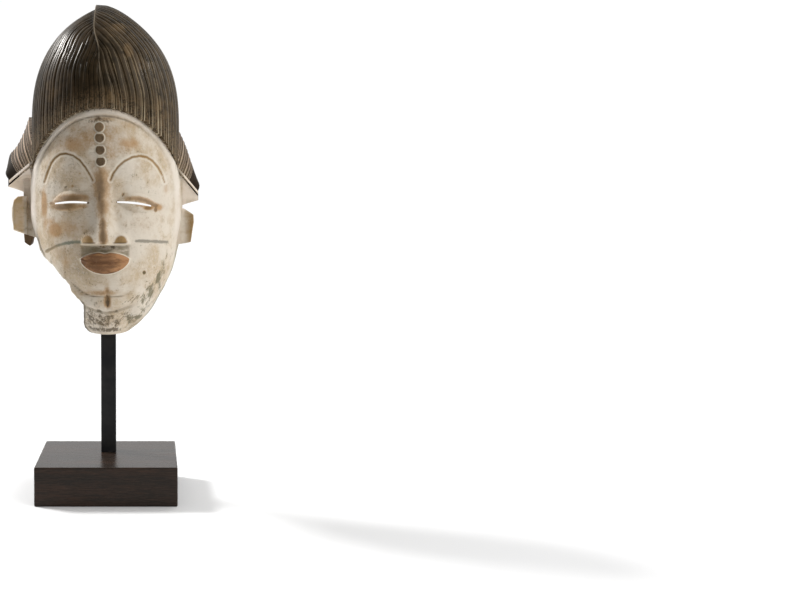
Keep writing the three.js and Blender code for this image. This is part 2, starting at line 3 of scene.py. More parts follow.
import bpy
import numpy as np
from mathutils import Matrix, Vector, kdtree, noise


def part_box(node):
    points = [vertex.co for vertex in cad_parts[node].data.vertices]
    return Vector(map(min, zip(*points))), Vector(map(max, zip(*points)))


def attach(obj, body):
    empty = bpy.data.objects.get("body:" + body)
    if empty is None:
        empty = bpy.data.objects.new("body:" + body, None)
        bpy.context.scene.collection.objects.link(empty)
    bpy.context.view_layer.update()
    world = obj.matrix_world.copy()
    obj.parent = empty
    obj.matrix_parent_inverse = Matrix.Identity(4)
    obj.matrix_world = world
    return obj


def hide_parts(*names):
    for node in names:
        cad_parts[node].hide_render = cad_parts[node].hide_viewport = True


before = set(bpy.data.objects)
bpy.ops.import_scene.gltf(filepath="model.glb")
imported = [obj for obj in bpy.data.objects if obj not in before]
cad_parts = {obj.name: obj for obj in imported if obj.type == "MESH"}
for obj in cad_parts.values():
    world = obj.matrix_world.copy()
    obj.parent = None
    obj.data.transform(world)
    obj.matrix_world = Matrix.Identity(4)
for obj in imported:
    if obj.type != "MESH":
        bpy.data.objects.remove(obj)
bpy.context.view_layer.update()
scene = bpy.context.scene

# Camera
# The mask is seen from a little right of its middle and a little above its eyes, and stands at the left of
# the frame. The camera looks along +Y, square to the block's front, and about three degrees down.

CAMERA_PLACE = (0.0392, -0.9882, 0.2487)
CAMERA_DOWN = radians(3.06)
CAMERA_LENS, CAMERA_SENSOR = 51.08, 36
CAMERA_SHIFT = (0.3085, -0.045)


def placed(name, data):
    """A new object of the scene that shows data."""
    thing = bpy.data.objects.new(name, data)
    scene.collection.objects.link(thing)
    return thing


camera = placed("camera", bpy.data.cameras.new("camera"))
camera.location = CAMERA_PLACE
camera.rotation_euler = (pi / 2 - CAMERA_DOWN, 0, 0)
camera.data.lens = CAMERA_LENS
camera.data.sensor_width = CAMERA_SENSOR
camera.data.shift_x, camera.data.shift_y = CAMERA_SHIFT
scene.camera = camera
scene.view_settings.view_transform = "Standard"
scene.view_settings.look = "None"


# Studio floor
# A plain white table top without a join, which stands for any smooth pale surface. It is matt, runs on
# sideways and behind until it is lost in white, and ends just in front of the block.

def worked(operation):
    """A sum that a tone does with the math node, alone or with another value."""
    def work(self, other=0.0):
        return self.node("ShaderNodeMath", {"operation": operation}, {0: self, 1: other})
    return work


class Tone:
    """A number or a colour somewhere in a finish. Sums on tones add the nodes that work them out."""

    def __init__(self, tree, socket=None):
        self.tree = tree
        self.socket = socket

    def node(self, kind, settings=None, sockets=None, output=0):
        """Adds a node: its settings first, then the values or links of its sockets."""
        made = self.tree.nodes.new(kind)
        for name, value in (settings or {}).items():
            setattr(made, name, value)
        for name, value in (sockets or {}).items():
            if isinstance(value, Tone):
                self.tree.links.new(value.socket, made.inputs[name])
            else:
                made.inputs[name].default_value = value
        return Tone(self.tree, made.outputs[output])

    __add__ = __radd__ = worked("ADD")
    __mul__ = __rmul__ = worked("MULTIPLY")
    __sub__ = worked("SUBTRACT")
    __truediv__ = worked("DIVIDE")
    size = worked("ABSOLUTE")
    fraction = worked("FRACT")
    sine = worked("SINE")
    most = worked("MAXIMUM")
    least = worked("MINIMUM")

    def __rsub__(self, other):
        return self.node("ShaderNodeMath", {"operation": "SUBTRACT"}, {0: other, 1: self})

    def rise(self, low=0, high=1):
        """0 below low, 1 above high and smooth in between; low may be above high."""
        return self.node("ShaderNodeMapRange", {"interpolation_type": "SMOOTHSTEP"},
                         {"Value": self, "From Min": low, "From Max": high})

    def near(self, full, gone):
        """1 as far as full from zero, to both sides, and 0 from gone on."""
        return 1 - self.size().rise(full, gone)

    def bump(self, strength, distance):
        return self.node("ShaderNodeBump", {}, {"Strength": strength, "Distance": distance, "Height": self})

    def cover(self, under, colour):
        """The colour under, covered with another one as far as this tone says."""
        under = under if isinstance(under, Tone) else (*under, 1)
        colour = colour if isinstance(colour, Tone) else (*colour, 1)
        return self.node("ShaderNodeMix", {"data_type": "RGBA"}, {0: self, 6: under, 7: colour}, 2)


def finish_of(name):
    material = bpy.data.materials.new(name)
    material.use_nodes = True
    return material


def feed(coat, **tones):
    """Links tones to the sockets of a material's shader, and sets plain numbers on them."""
    tree = coat.node_tree
    for name, value in tones.items():
        socket = tree.nodes["Principled BSDF"].inputs[name.replace("_", " ")]
        if isinstance(value, Tone):
            tree.links.new(value.socket, socket)
        else:
            socket.default_value = value


def meshed(name, corners, faces):
    mesh = bpy.data.meshes.new(name)
    mesh.from_pydata(corners, [], faces)
    return placed(name, mesh)


FLOOR_SIDE, FLOOR_NEAR, FLOOR_FAR = 8.0, -0.36, 12.0
FLOOR_WHITE, FLOOR_ROUGH = (0.85, 0.85, 0.85, 1), 0.7

floor_corners = [(-FLOOR_SIDE, FLOOR_NEAR, 0), (FLOOR_SIDE, FLOOR_NEAR, 0),
                 (FLOOR_SIDE, FLOOR_FAR, 0), (-FLOOR_SIDE, FLOOR_FAR, 0)]
floor = meshed("floor", floor_corners, [(0, 1, 2, 3)])
floor_paper = finish_of("white_table")
feed(floor_paper, Base_Color=FLOOR_WHITE, Roughness=FLOOR_ROUGH)
floor.data.materials.append(floor_paper)


# Light
# A white background, which dims towards the front of the room, lights everything softly. A lamp high on the
# left, a little behind, throws the soft shadows to the right. A large soft lamp stands front right, and a
# weak one on the right side puts the second highlight on the coiffure.

BACKGROUND_WHITE, ROOM_GREY = (1.02, 1.02, 1.02), (0.2, 0.2, 0.2)
LIT_POINT = Vector((0, 0, 0.25))
LAMPS = [
    ("left_lamp", "SUN", (-0.667, 0.38, 0.626), {"angle": radians(14), "energy": 3.2}),
    ("side_lamp", "SUN", (0.82, 0.1, 0.56), {"angle": radians(5), "energy": 0.2}),
    ("right_lamp", "AREA", (1.2, -0.95, 0.8), {"shape": "DISK", "size": 1.6, "energy": 20}),
]

world = bpy.data.worlds.new("white_room")
world.use_nodes = True
sky = Tone(world.node_tree)
facing = sky.node("ShaderNodeSeparateXYZ", {}, {0: sky.node("ShaderNodeTexCoord", output=0)}, 1)
backdrop = facing.rise(-0.35, 0.45).cover(ROOM_GREY, BACKGROUND_WHITE)
world.node_tree.links.new(backdrop.socket, world.node_tree.nodes["Background"].inputs["Color"])
scene.world = world

for name, kind, away, settings in LAMPS:
    light = bpy.data.lights.new(name, kind)
    for setting, value in settings.items():
        setattr(light, setting, value)
    lamp = placed(name, light)
    lamp.location = LIT_POINT + Vector(away)
    lamp.rotation_euler = (LIT_POINT - lamp.location).to_track_quat("-Z", "Y").to_euler()


# Base block
# One block of dark stained hardwood with eased edges, rubbed until its top mirrors the white room. It
# stands flat on the table, and the rod is let into it.

MM = 0.001


def grained(coat, scale, detail=4, rough=0.6, stretch=(1, 1, 1), seed=0.0):
    """Noise in the piece's own space, in grains per millimetre, from 0 to 1."""
    space = Tone(coat.node_tree).node("ShaderNodeTexCoord", output=3)
    place = space.node("ShaderNodeMapping", {}, {
        "Vector": space, "Scale": [scale / MM * part for part in stretch],
        "Location": (seed, seed * 2, seed * 3)})
    return place.node("ShaderNodeTexNoise", {}, {
        "Vector": place, "Scale": 1.0, "Detail": detail, "Roughness": rough})


BASE_EDGE, EASING_STEPS = 1.2, 4
BASE_BROWN = (0.02, 0.016, 0.013)
BASE_RED = (0.045, 0.026, 0.018)
PORE_BLACK = (0.012, 0.01, 0.009)

low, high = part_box("base")
corners = [(x, y, z) for z in (low.z, high.z) for y in (low.y, high.y) for x in (low.x, high.x)]
base_faces = [(0, 2, 3, 1), (4, 5, 7, 6), (0, 1, 5, 4), (2, 6, 7, 3), (0, 4, 6, 2), (1, 3, 7, 5)]
base = meshed("base_block", corners, base_faces)
easing = base.modifiers.new("eased_edges", "BEVEL")
easing.width = BASE_EDGE * MM
easing.segments = EASING_STEPS
base.data.shade_smooth()
base.data.set_sharp_from_angle(angle=radians(50))

stained = finish_of("stained_wood")
fibre = grained(stained, 0.09, 6, 0.6, (1, 8, 12))
bands = grained(stained, 0.012, 3, 0.5, (1, 6, 9), 3.0)
pores = grained(stained, 0.35, 3, 0.5, (0.35, 2.5, 6), 5.0).rise(0.62, 0.75)
redness = (fibre * 0.6 + bands * 0.5 - 0.1).rise(0.3, 0.7)
stain = redness.cover(BASE_BROWN, BASE_RED)
stain = (pores * 0.6).cover(stain, PORE_BLACK)
feed(stained, Base_Color=stain, Roughness=fibre * 0.15 + 0.2,
     Normal=(fibre - pores * 0.5).bump(0.12, 0.0003), Specular_IOR_Level=0.12)
base.data.materials.append(stained)
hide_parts("base")
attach(base, "root")


# Rod
# A square bar of mild steel, painted satin black. It stands in the block and runs up inside the hollow of
# the mask to its ceiling, which rests on its end.

ROD_BLACKS = (0.011, 0.011, 0.012), (0.022, 0.021, 0.02)

steel = finish_of("satin_black")
brushed = grained(steel, 0.5, 3, 0.6, (1, 1, 0.15))
mottle = grained(steel, 0.06, seed=2.0)
black = mottle.rise(0.35, 0.7).cover(*ROD_BLACKS)
feed(steel, Base_Color=black, Roughness=mottle * 0.2 + 0.3,
     Normal=brushed.bump(0.15, 0.0002), Specular_IOR_Level=0.18)
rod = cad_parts["rod"]
rod.data.materials.clear()
rod.data.materials.append(steel)


# Mask: the coiffure
# The mask is carved from one block of pale light wood. Its egg-shaped coiffure has two lobes that meet in a
# stepped parting, and fine ridges run from the parting down to the hairline all round. It is blackened.

def held(value):
    return np.clip(value, 0, 1)


def ease(value, width=1):
    """0 below 0, 1 from width on, and smooth in between."""
    t = held(value / width)
    return t * t * (3 - 2 * t)


def arc(across):
    """The height of a half circle of radius 1 over a point across it."""
    return np.sqrt(held(1 - across ** 2))


def mixed(a, b, t):
    return a + (b - a) * t


def hump(*distances):
    """1 in the middle and falling off on all sides; each distance is given in its own widths."""
    return np.exp(-sum(distance ** 2 for distance in distances))


def spots(x, y, z):
    """Points from their coordinates, each an array or one number for all."""
    return np.stack(np.broadcast_arrays(x, y, z), axis=-1)


def unit(directions):
    return directions / np.linalg.norm(directions, axis=-1, keepdims=True)


HAIR_X, HAIR_Y, HAIR_TOP = -1.5, -5.0, 421.3
HAIR_HALF, HAIR_FRONT, HAIR_BACK = 63.4, 76.0, 60.0
WIDTH_FROM, WIDTH_POWER, WIDTH_CURVE = 311.0, 2.97, 0.78
DEPTH_FROM, DEPTH_POWER, DEPTH_CURVE = 318.0, 2.4, 0.6
HAIR_COLUMNS, HAIR_ROWS, RIGHT_RIDGES, LEFT_RIDGES = 192, 64, 32, 48
RIDGE_DEPTH, RIDGE_WANDER = 1.1, 0.45
PARTING_LOW, PARTING_SPREAD, PARTING_BEND = radians(81), 0.42, 0.5
PARTING_SHIFT, RIGHT_RISE, LEFT_DROP, PARTING_REACH = -7.6, 1.7, -1.9, 22.0
STEP_FROM, STEP_REACH, HAIR_INSIDE = 362, 40, 303.2
GROOVE_HALF, GROOVE_SHARE, RIDGE_UNEVEN = 0.085, 0.75, 0.09
HAIRLINE_X, HAIRLINE_Z, HAIRLINE_WIDE, HAIRLINE_HIGH, HAIRLINE_SIDE = -1.5, 263.6, 65.0, 66.0, 268.0


def hairline_height(x):
    return np.maximum(HAIRLINE_SIDE, HAIRLINE_Z + HAIRLINE_HIGH * arc((x - HAIRLINE_X) / HAIRLINE_WIDE))


def steepness_at(z):
    t = held((z - WIDTH_FROM) / (HAIR_TOP - WIDTH_FROM))
    above = np.arcsin((1 - t ** WIDTH_POWER) ** WIDTH_CURVE)
    return np.where(z < WIDTH_FROM, pi / 2 + (WIDTH_FROM - z) / HAIR_HALF, above)


def height_at(steep):
    sine = held(np.sin(np.minimum(steep, pi / 2)))
    above = mixed(WIDTH_FROM, HAIR_TOP, (1 - sine ** (1 / WIDTH_CURVE)) ** (1 / WIDTH_POWER))
    return np.where(steep > pi / 2, WIDTH_FROM - (steep - pi / 2) * HAIR_HALF, above)


def hair_points(side, turn, run, relief):
    """turn is where around the egg a ridge ends, 0 in front and pi behind; run is how far along it."""
    towards = np.where(turn > pi / 2, -1.0, 1.0)
    from_parting = 1 - np.abs(1 - turn / (pi / 2))
    start = PARTING_LOW * (1 - from_parting ** PARTING_SPREAD)
    end_x = HAIR_X + side * HAIR_HALF * np.sin(turn)
    end = steepness_at(np.where(turn > pi / 2, HAIRLINE_SIDE, hairline_height(end_x)))
    bend = mixed(start, end, PARTING_BEND)
    pull = 2 * run * (1 - run) * bend + run ** 2 * end
    sideways = np.sin(turn) * pull
    forward = towards * start * (1 - run) ** 2 + np.cos(turn) * pull
    steep = np.maximum(np.hypot(sideways, forward), 1e-9)
    sine, cosine = sideways / steep, forward / steep
    z = height_at(steep)
    rise = held((z - WIDTH_FROM) / (HAIR_TOP - WIDTH_FROM))
    sink = held((z - DEPTH_FROM) / (HAIR_TOP - DEPTH_FROM))
    half = HAIR_HALF * (1 - rise ** WIDTH_POWER) ** WIDTH_CURVE
    depth = np.where(cosine > 0, HAIR_FRONT, HAIR_BACK) * (1 - sink ** DEPTH_POWER) ** DEPTH_CURVE
    x, y = side * half * sine, -depth * cosine
    lift = (RIGHT_RISE if side > 0 else LEFT_DROP) * hump(x / PARTING_REACH)
    lift = lift * ease(z - STEP_FROM, STEP_REACH)
    out = unit(spots(x / HAIR_HALF, y / HAIR_FRONT, rise))
    out *= (lift - relief * ease(run, 0.06))[..., None]
    shift = PARTING_SHIFT * mixed(ease(z - 335, 30), ease(z - 374, 24), 0.65) * cosine ** 2
    return spots(HAIR_X + x + shift, HAIR_Y + y, z) + out


HAIR_PAINT, FACE_PAINT, TRESS_PAINT, BARE_PAINT = 0, 1, 2, 3
mask_finishes = [finish_of(name) for name in ("blackened_hair", "white_clay", "tress_wood", "bare_wood")]


def wood_piece(name, points, faces, paint):
    """A closed piece of wood from points in millimetres, turned so that its faces point out."""
    points = np.asarray(points, float)
    corners = [(face[0], face[i], face[i + 1]) for face in faces for i in range(1, len(face) - 1)]
    a, b, c = (points[[corner[i] for corner in corners]] for i in range(3))
    if np.einsum("ij,ij->i", a, np.cross(b, c)).sum() < 0:
        faces = [face[::-1] for face in faces]
    piece = meshed(name, (points * MM).tolist(), faces)
    for material in mask_finishes:
        piece.data.materials.append(material)
    piece.data.polygons.foreach_set("material_index", np.broadcast_to(paint, len(faces)).astype(np.int32))
    return piece


def wave(points, scale, octaves, seed):
    """Seeded noise at points in millimetres, about -1 to 1."""
    flat = points.reshape(-1, 3) / scale
    shift = Vector((seed, seed * 1.7, seed * 2.3))
    values = [noise.fractal(Vector(point) + shift, 0.7, 2.1, octaves) for point in flat.tolist()]
    return np.array(values).reshape(points.shape[:-1])


ridge_marks = []


def grid(rows, columns):
    return np.meshgrid(rows, columns, indexing="ij")


def parts(count):
    return np.linspace(0, 1, count + 1)


def hair_side(side, ridges):
    """The ridges of one lobe: each wanders a little and is wider or narrower than the next."""
    part, run = grid(parts(HAIR_COLUMNS), parts(HAIR_ROWS) ** 1.2)
    ridge = part * ridges + RIDGE_UNEVEN * np.sin(2 * pi * part * ridges)
    part = ridge / ridges
    groove = GROOVE_SHARE * hump((ridge % 1 - 0.5) / GROOVE_HALF)
    groove = groove + (1 - GROOVE_SHARE) * np.sin(pi * ridge) ** 2
    uneven = wave(spots(ridge * 0.55, run * 1.6, 0), 1.0, 2, 3.0 * side)
    ends = ease(part * 18) * ease((1 - part) * 18)
    turn = pi * (part + RIDGE_WANDER * uneven * ends / ridges)
    deep = 1 + 0.35 * wave(spots(np.round(ridge), run * 2.5, 0), 1.0, 2, 8.0 * side)
    points = hair_points(side, turn, run, RIDGE_DEPTH * deep * groove)
    ridge_marks.append((points, ridge + 100 * (side + 2)))
    return points


def coiffure():
    columns = HAIR_COLUMNS
    right, left = hair_side(1, RIGHT_RIDGES), hair_side(-1, LEFT_RIDGES)
    count = (columns + 1) * (HAIR_ROWS + 1)
    number = np.arange(count).reshape(columns + 1, HAIR_ROWS + 1)
    other = number + count
    other[0] = number[0]
    other[-1] = number[-1]
    points = np.concatenate([right.reshape(-1, 3), left.reshape(-1, 3), [[HAIR_X, 0, HAIR_INSIDE]]])
    faces = []
    for j in range(columns):
        for i in range(HAIR_ROWS):
            faces.append((number[j, i], number[j, i + 1], number[j + 1, i + 1], number[j + 1, i]))
            faces.append((other[j, i], other[j + 1, i], other[j + 1, i + 1], other[j, i + 1]))
        faces.append((other[j, 0], number[j, 0], number[j + 1, 0], other[j + 1, 0]))
        faces.append((number[j, -1], 2 * count, number[j + 1, -1]))
        faces.append((other[j, -1], other[j + 1, -1], 2 * count))
    faces = [tuple(dict.fromkeys(int(n) for n in face)) for face in faces]
    faces = [face for face in faces if len(face) > 2]
    used = np.unique([n for face in faces for n in face])
    place = np.zeros(2 * count + 1, int)
    place[used] = np.arange(len(used))
    faces = [tuple(int(place[n]) for n in face) for face in faces]
    return wood_piece("coiffure", points[used], faces, HAIR_PAINT)


# Mask: the face
# The face is a full curve from rim to rim, carved lower down into brows, lids, nose, lips and chin, with a
# raised band along the hairline. It is painted with white clay over the wood.

COLLAR_LOW = 143.0
FACE_ROWS = np.array([
    (143, 22, -45), (150, 28, -50), (160, 36.8, -56), (172, 44.1, -62.5), (185, 51.3, -66.5),
    (197, 56.5, -69.5), (210, 59.6, -72), (225, 63, -73.5), (240, 65.6, -73.5), (255, 66.6, -74),
    (270, 66.8, -76), (290, 66, -78.5), (310, 63, -79), (330, 57, -76), (345, 48, -68)], float)
FACE_TOP = 345.0
RIM_LOW, RIM_LEAN, BEHIND = 4.5, 0.137, 60.0


def curve_through(column):
    keys, values = FACE_ROWS[:, 0], FACE_ROWS[:, column]
    slopes = np.gradient(values) / np.gradient(keys)

    def read(at):
        i = np.clip(np.searchsorted(keys, at, side="right") - 1, 0, len(keys) - 2)
        span = keys[i + 1] - keys[i]
        t = held((at - keys[i]) / span)
        return (values[i] * (2 * t ** 3 - 3 * t ** 2 + 1) + slopes[i] * span * (t ** 3 - 2 * t ** 2 + t)
                + values[i + 1] * (3 * t ** 2 - 2 * t ** 3) + slopes[i + 1] * span * (t ** 3 - t ** 2))
    return read


face_half = curve_through(1)
face_front = curve_through(2)


def rim_y(z):
    return RIM_LOW + RIM_LEAN * (z - COLLAR_LOW)


def face_middle(z):
    return mixed(0.3, -1.2, ease(z - 205, 40))


def midline(z):
    return 1.6 - 0.035 * (z - 173)


def face_y(x, z):
    return mixed(rim_y(z), face_front(z), arc((x - face_middle(z)) / face_half(z)))


def distance_to(path, x, z):
    """How far each point of the face is from a drawn line, in millimetres."""
    nearest = np.full(np.shape(x), 1e3)
    for (ax, az), (bx, bz) in zip(path[:-1], path[1:]):
        along = ((x - ax) * (bx - ax) + (z - az) * (bz - az)) / ((bx - ax) ** 2 + (bz - az) ** 2)
        along = held(along)
        nearest = np.minimum(nearest, np.hypot(x - ax - along * (bx - ax), z - az - along * (bz - az)))
    return nearest


BAND_WIDTH, BAND_PROUD = 6.6, 2.0


def band_distance(x, z):
    """Distance to the middle of the band, a half ellipse on straight legs: negative inside it."""
    wide, high = HAIRLINE_WIDE - BAND_WIDTH / 2, HAIRLINE_HIGH - BAND_WIDTH / 2
    dx, dz = (x - HAIRLINE_X) / wide, np.maximum(z - HAIRLINE_Z, 0) / high
    away = np.hypot(dx, dz) + 1e-9
    return (away - 1) * away / np.maximum(np.hypot(dx / wide, dz / high), 1e-9)


BROWS = [
    [(-51.2, 270.5), (-50, 273.9), (-47.4, 280), (-44.1, 286.4), (-40.4, 290.4), (-36.1, 292.8),
     (-31.2, 293.3), (-25.3, 291.5), (-19.5, 287.4), (-15, 281.7), (-11.5, 275.9), (-9.2, 271.4)],
    [(5.2, 271.5), (7.2, 276.6), (11.2, 282.2), (16.4, 286.8), (22.8, 290.2), (28.7, 291.3), (34.4, 290.4),
     (39.4, 287.3), (43.8, 282.2), (47, 276.5), (48.9, 270.7)],
]
BROW_CUT, BROW_HALF, UNDER_BROW = 0.8, 0.95, 0.45
EYES = [
    {"inner": -12.6, "outer": -45.6, "z": 253.4, "top": 263.8, "low": 246.4, "tilt": -0.025,
     "slit": (-13.2, -39.8)},
    {"inner": 10.4, "outer": 45.6, "z": 253.9, "top": 263.5, "low": 247.5, "tilt": -0.11,
     "slit": (10.8, 37.8)},
]
LID_BULGE, SLIT_WIDTH, SLIT_ARCH = 5.2, 1.7, 0.8


def eye_place(eye, x):
    """How far along the lids a point is, how full they are there, and the height of their middle."""
    along = (x - eye["inner"]) / (eye["outer"] - eye["inner"])
    swell = np.sin(pi * held(0.03 + 0.94 * along)) ** 0.8
    return along, swell, eye["z"] + eye["tilt"] * np.abs(x - eye["inner"])


def lid_relief(eye, x, z):
    along, swell, middle = eye_place(eye, x)
    reach = np.where(z > middle, eye["top"] - eye["z"], eye["z"] - eye["low"]) * np.maximum(swell, 0.02)
    round_lid = held(1 - ((z - middle) / reach) ** 2) ** 0.55
    inside = (along > 0) & (along < 1)
    corner = hump((z - middle) / 0.8) * ease(1 - np.abs(along - 0.5) * 2)
    return np.where(inside, np.maximum(LID_BULGE * swell * round_lid - 1, 0) - 0.6 * corner, 0)


NOSE_X, NOSE_BASE, NOSE_BRIDGE, NOSE_RISE, WING_HALF = 0.3, 219.8, 273.0, 14.0, 19.6
NOSE_UP = [0, 0.08, 0.14, 0.2, 0.28, 0.42, 0.62, 1]
NOSE_HALF = [1, 0.96, 0.8, 0.66, 0.57, 0.5, 0.44, 0.34]
RIDGE_UP = [0, 0.08, 0.3, 0.55, 0.8, 1, 1.35]
RIDGE_HIGH = [0.92, 1, 0.76, 0.52, 0.36, 0.24, 0]


def nose_relief(x, z):
    up = (z - NOSE_BASE) / (NOSE_BRIDGE - NOSE_BASE)
    across = np.abs(x - NOSE_X - midline(z) + midline(NOSE_BASE))
    ridge = NOSE_RISE * np.interp(up, RIDGE_UP, RIDGE_HIGH)
    wing = WING_HALF * np.interp(up, NOSE_UP, NOSE_HALF)
    body = 0.42 * hump(across / 5.0) + 0.58 * ease(1 - across / (wing + 1.5))
    alae = 3.6 * hump((across - 13.2) / 4.6, (z - 223.2) / 5.0)
    ledge = 2.2 * hump((z - NOSE_BASE - 0.8) / 1.6) * ease(WING_HALF + 0.6 - across, 1.6)
    under = ease(z - NOSE_BASE + 1.3, 1.3)
    return (ridge * body + alae + ledge) * under


MOUTH_X, MOUTH_Z, MOUTH_HALF, UPPER_LIP, LOWER_LIP, CORNER_RISE = 0.3, 204.5, 20.0, 8.8, 9.0, 3.2


def lip_edges(x):
    across = np.clip((x - MOUTH_X) / MOUTH_HALF, -1, 1)
    swell = arc(across)
    middle = MOUTH_Z + CORNER_RISE * across ** 2
    bow = 1 - 0.14 * hump(across / 0.16)
    return middle, middle + UPPER_LIP * swell ** 1.6 * bow, middle - LOWER_LIP * swell, swell


def lips_distance(x, z):
    """Distance inside the outline of the lips, negative outside it."""
    top, low = lip_edges(x)[1:3]
    return np.minimum(np.minimum(top - z, z - low), (MOUTH_HALF - np.abs(x - MOUTH_X)) * 0.7)


def mouth_relief(x, z):
    middle, top, low, swell = lip_edges(x)
    inside = lips_distance(x, z)
    above, below = (z - middle) / np.maximum(top - middle, 0.5), (middle - z) / np.maximum(middle - low, 0.5)
    part = np.where(z > middle, above, below)
    full = 3.4 + 3.2 * np.sqrt(held(1 - (held(part) - 0.35) ** 2 / 0.6))
    line = 0.6 * hump((z - middle) / 0.7)
    return (full * (0.35 + 0.65 * swell) - line) * ease(inside + 0.35, 1.1)


def box_recess(x, z):
    """The sunk place between the nose and the upper lip."""
    middle = lip_edges(x)[0]
    side = ease(WING_HALF + 0.8 - np.abs(x - NOSE_X), 2.8)
    return side * ease(NOSE_BASE + 0.2 - z, 1.0) * ease(z - middle + 2, 3)


DOTS = [(-3.6, 313.8), (-3.3, 305.2), (-2.9, 295.5), (-2.5, 286.4)]
DOT_RADIUS, DOT_PROUD, DOT_FLAT = 3.6, 1.2, 2.9


def dots_distance(x, z):
    """Distance inside the nearest of the four dots, negative outside."""
    inside = np.full(np.shape(x), -50.0)
    for n, (dot_x, dot_z) in enumerate(DOTS):
        round_edge = DOT_RADIUS - np.hypot(x - dot_x, z - dot_z)
        inside = np.maximum(inside, np.minimum(round_edge, (DOT_FLAT if n else 9.0) - (z - dot_z)))
    return inside


CREASE_HALF, CREASE_LEFT_MORE, CREASE_Z, CREASE_RISE = 25.0, 5.5, 176.0, 7.0
GROOVE_TOP, GROOVE_FOOT, GROOVE_DEPTH = 187.0, 165.0, 1.5
CHIN_X, CHIN_EDGE, CHIN_SLOPE, COLLAR_BACK = midline(CREASE_Z), 164.0, 0.32, 3.6


def crease_height(x):
    return CREASE_Z + CREASE_RISE * np.abs((x - CHIN_X) / CREASE_HALF) ** 3


def chin_edge(x):
    return CHIN_EDGE + np.hypot(CHIN_SLOPE * (x - CHIN_X), 1.5) - 1.5


def chin_relief(x, z):
    across = np.abs(x - CHIN_X)
    away = z - crease_height(x)
    to_right = x > CHIN_X
    end, fade = np.where(to_right, CREASE_HALF, CREASE_HALF + CREASE_LEFT_MORE), np.where(to_right, 10, 4)
    reach = ease(end - across, fade)
    hollow = -2.2 * hump((away - 1.5) / 5.5) * reach
    crease = -0.9 * hump(away) * reach
    groove = hump((x - midline(z)) / 2.0) * ease(GROOVE_TOP - z, 8) * ease(z - GROOVE_FOOT, 3)
    below = chin_edge(x) - z
    step = -COLLAR_BACK * ease(below + 1, 2.2) * ease(27 - across, 8)
    lip = 1.0 * hump((below + 2.2) / 1.5) * ease(14 - across, 6)
    return hollow + crease - GROOVE_DEPTH * groove + step + lip


PIT, PIT_DEPTH, PIT_HALF = (32.0, 196.0), 1.6, 1.2
STRIPES = [[(-50.5, 212.4), (-45, 215.4), (-40.7, 217.7), (-32.2, 220.3), (-22.7, 221.7), (-19.5, 221.5)],
           [(25.4, 222.3), (38, 221.6), (51, 220.6)]]


def face_relief(x, z):
    band = band_distance(x, z)
    low_fade = ease(z - 215, 30)
    across = np.abs(band) / (BAND_WIDTH / 2)
    crisp = ease(z - 272, 24)
    round_band = arc(across)
    relief = BAND_PROUD * low_fade * mixed(ease(1 - across / 1.7), round_band, crisp)
    line_depth = 0.45 * crisp * (1 - 0.6 * ease(x, 40))
    relief -= line_depth * hump((band + BAND_WIDTH / 2 + 0.4) / 0.7)
    for brow in BROWS:
        below = np.interp(x, *zip(*brow), left=0, right=0) - z
        relief -= UNDER_BROW * ease(below, 1.6) * ease(z - 262, 20)
        relief -= BROW_CUT * hump(distance_to(brow, x, z) / BROW_HALF)
    for eye in EYES:
        side = 1 if eye["inner"] > 0 else -1
        relief -= 1.6 * hump((x - side * 12) / 10, (z - 257) / 15)
        relief -= 1.6 * hump((x - side * 30) / 24, (z - 262) / 15)
        relief += lid_relief(eye, x, z)
    relief += nose_relief(x, z)
    relief -= 1.3 * box_recess(x, z)
    relief += mouth_relief(x, z) * (1 - ease(z - NOSE_BASE + 2))
    relief += DOT_PROUD * ease(dots_distance(x, z) + 0.25, 0.7)
    relief -= 0.35 * hump((dots_distance(x, z) + 0.9) / 0.6)
    relief += chin_relief(x, z)
    for stripe in STRIPES:
        relief -= 0.45 * hump(distance_to(stripe, x, z))
    return relief - PIT_DEPTH * hump(np.hypot(x - PIT[0], z - PIT[1]) / PIT_HALF)


def closed_behind(front, y):
    """Rings that join both edges of a front by a straight back at y."""
    behind = front[:, [-1, 0]].copy()
    behind[..., 1] = y
    return np.concatenate([front, behind], axis=1)


def skin_over(rings):
    """Faces over rings of equal count, with both ends closed to a middle point."""
    rounds, count = rings.shape[:2]
    number = np.arange(rounds * count).reshape(rounds, count)
    after = np.roll(number, -1, axis=1)
    sides = np.stack([number[:-1], after[:-1], after[1:], number[1:]], axis=-1).reshape(-1, 4)
    ends = [rings[0].mean(0), rings[-1].mean(0)]
    points = np.concatenate([rings.reshape(-1, 3), ends])
    low_end, high_end = rounds * count, rounds * count + 1
    faces = [tuple(side) for side in sides.tolist()]
    faces += [(low_end, int(b), int(a)) for a, b in zip(number[0], after[0])]
    faces += [(high_end, int(a), int(b)) for a, b in zip(number[-1], after[-1])]
    return points, faces


FACE_COLUMNS, FINE_FROM, FINE_TO, FINE_STEP, COARSE_STEP = 220, 190.0, 320.0, 0.75, 1.6


def face_form():
    heights = np.concatenate([np.arange(COLLAR_LOW, FINE_FROM, COARSE_STEP),
                              np.arange(FINE_FROM, FINE_TO, FINE_STEP), np.linspace(FINE_TO, FACE_TOP, 16)])
    part = parts(FACE_COLUMNS)
    angle = pi * (part + 0.05 * np.sin(2 * pi * part))
    z, angle = grid(heights, angle)
    half, depth = face_half(z), rim_y(z) - face_front(z)
    x = face_middle(z) - half * np.cos(angle)
    y = rim_y(z) - depth * np.sin(angle)
    out = unit(spots(-np.cos(angle) / half, -np.sin(angle) / depth, 0))
    front = spots(x, y, z)
    relief = face_relief(x, z) + 0.55 * wave(front, 24, 3, 4.0) + 0.16 * wave(front, 4, 2, 9.0)
    front += out * relief[..., None]
    return wood_piece("face", *skin_over(closed_behind(front, BEHIND)), FACE_PAINT)


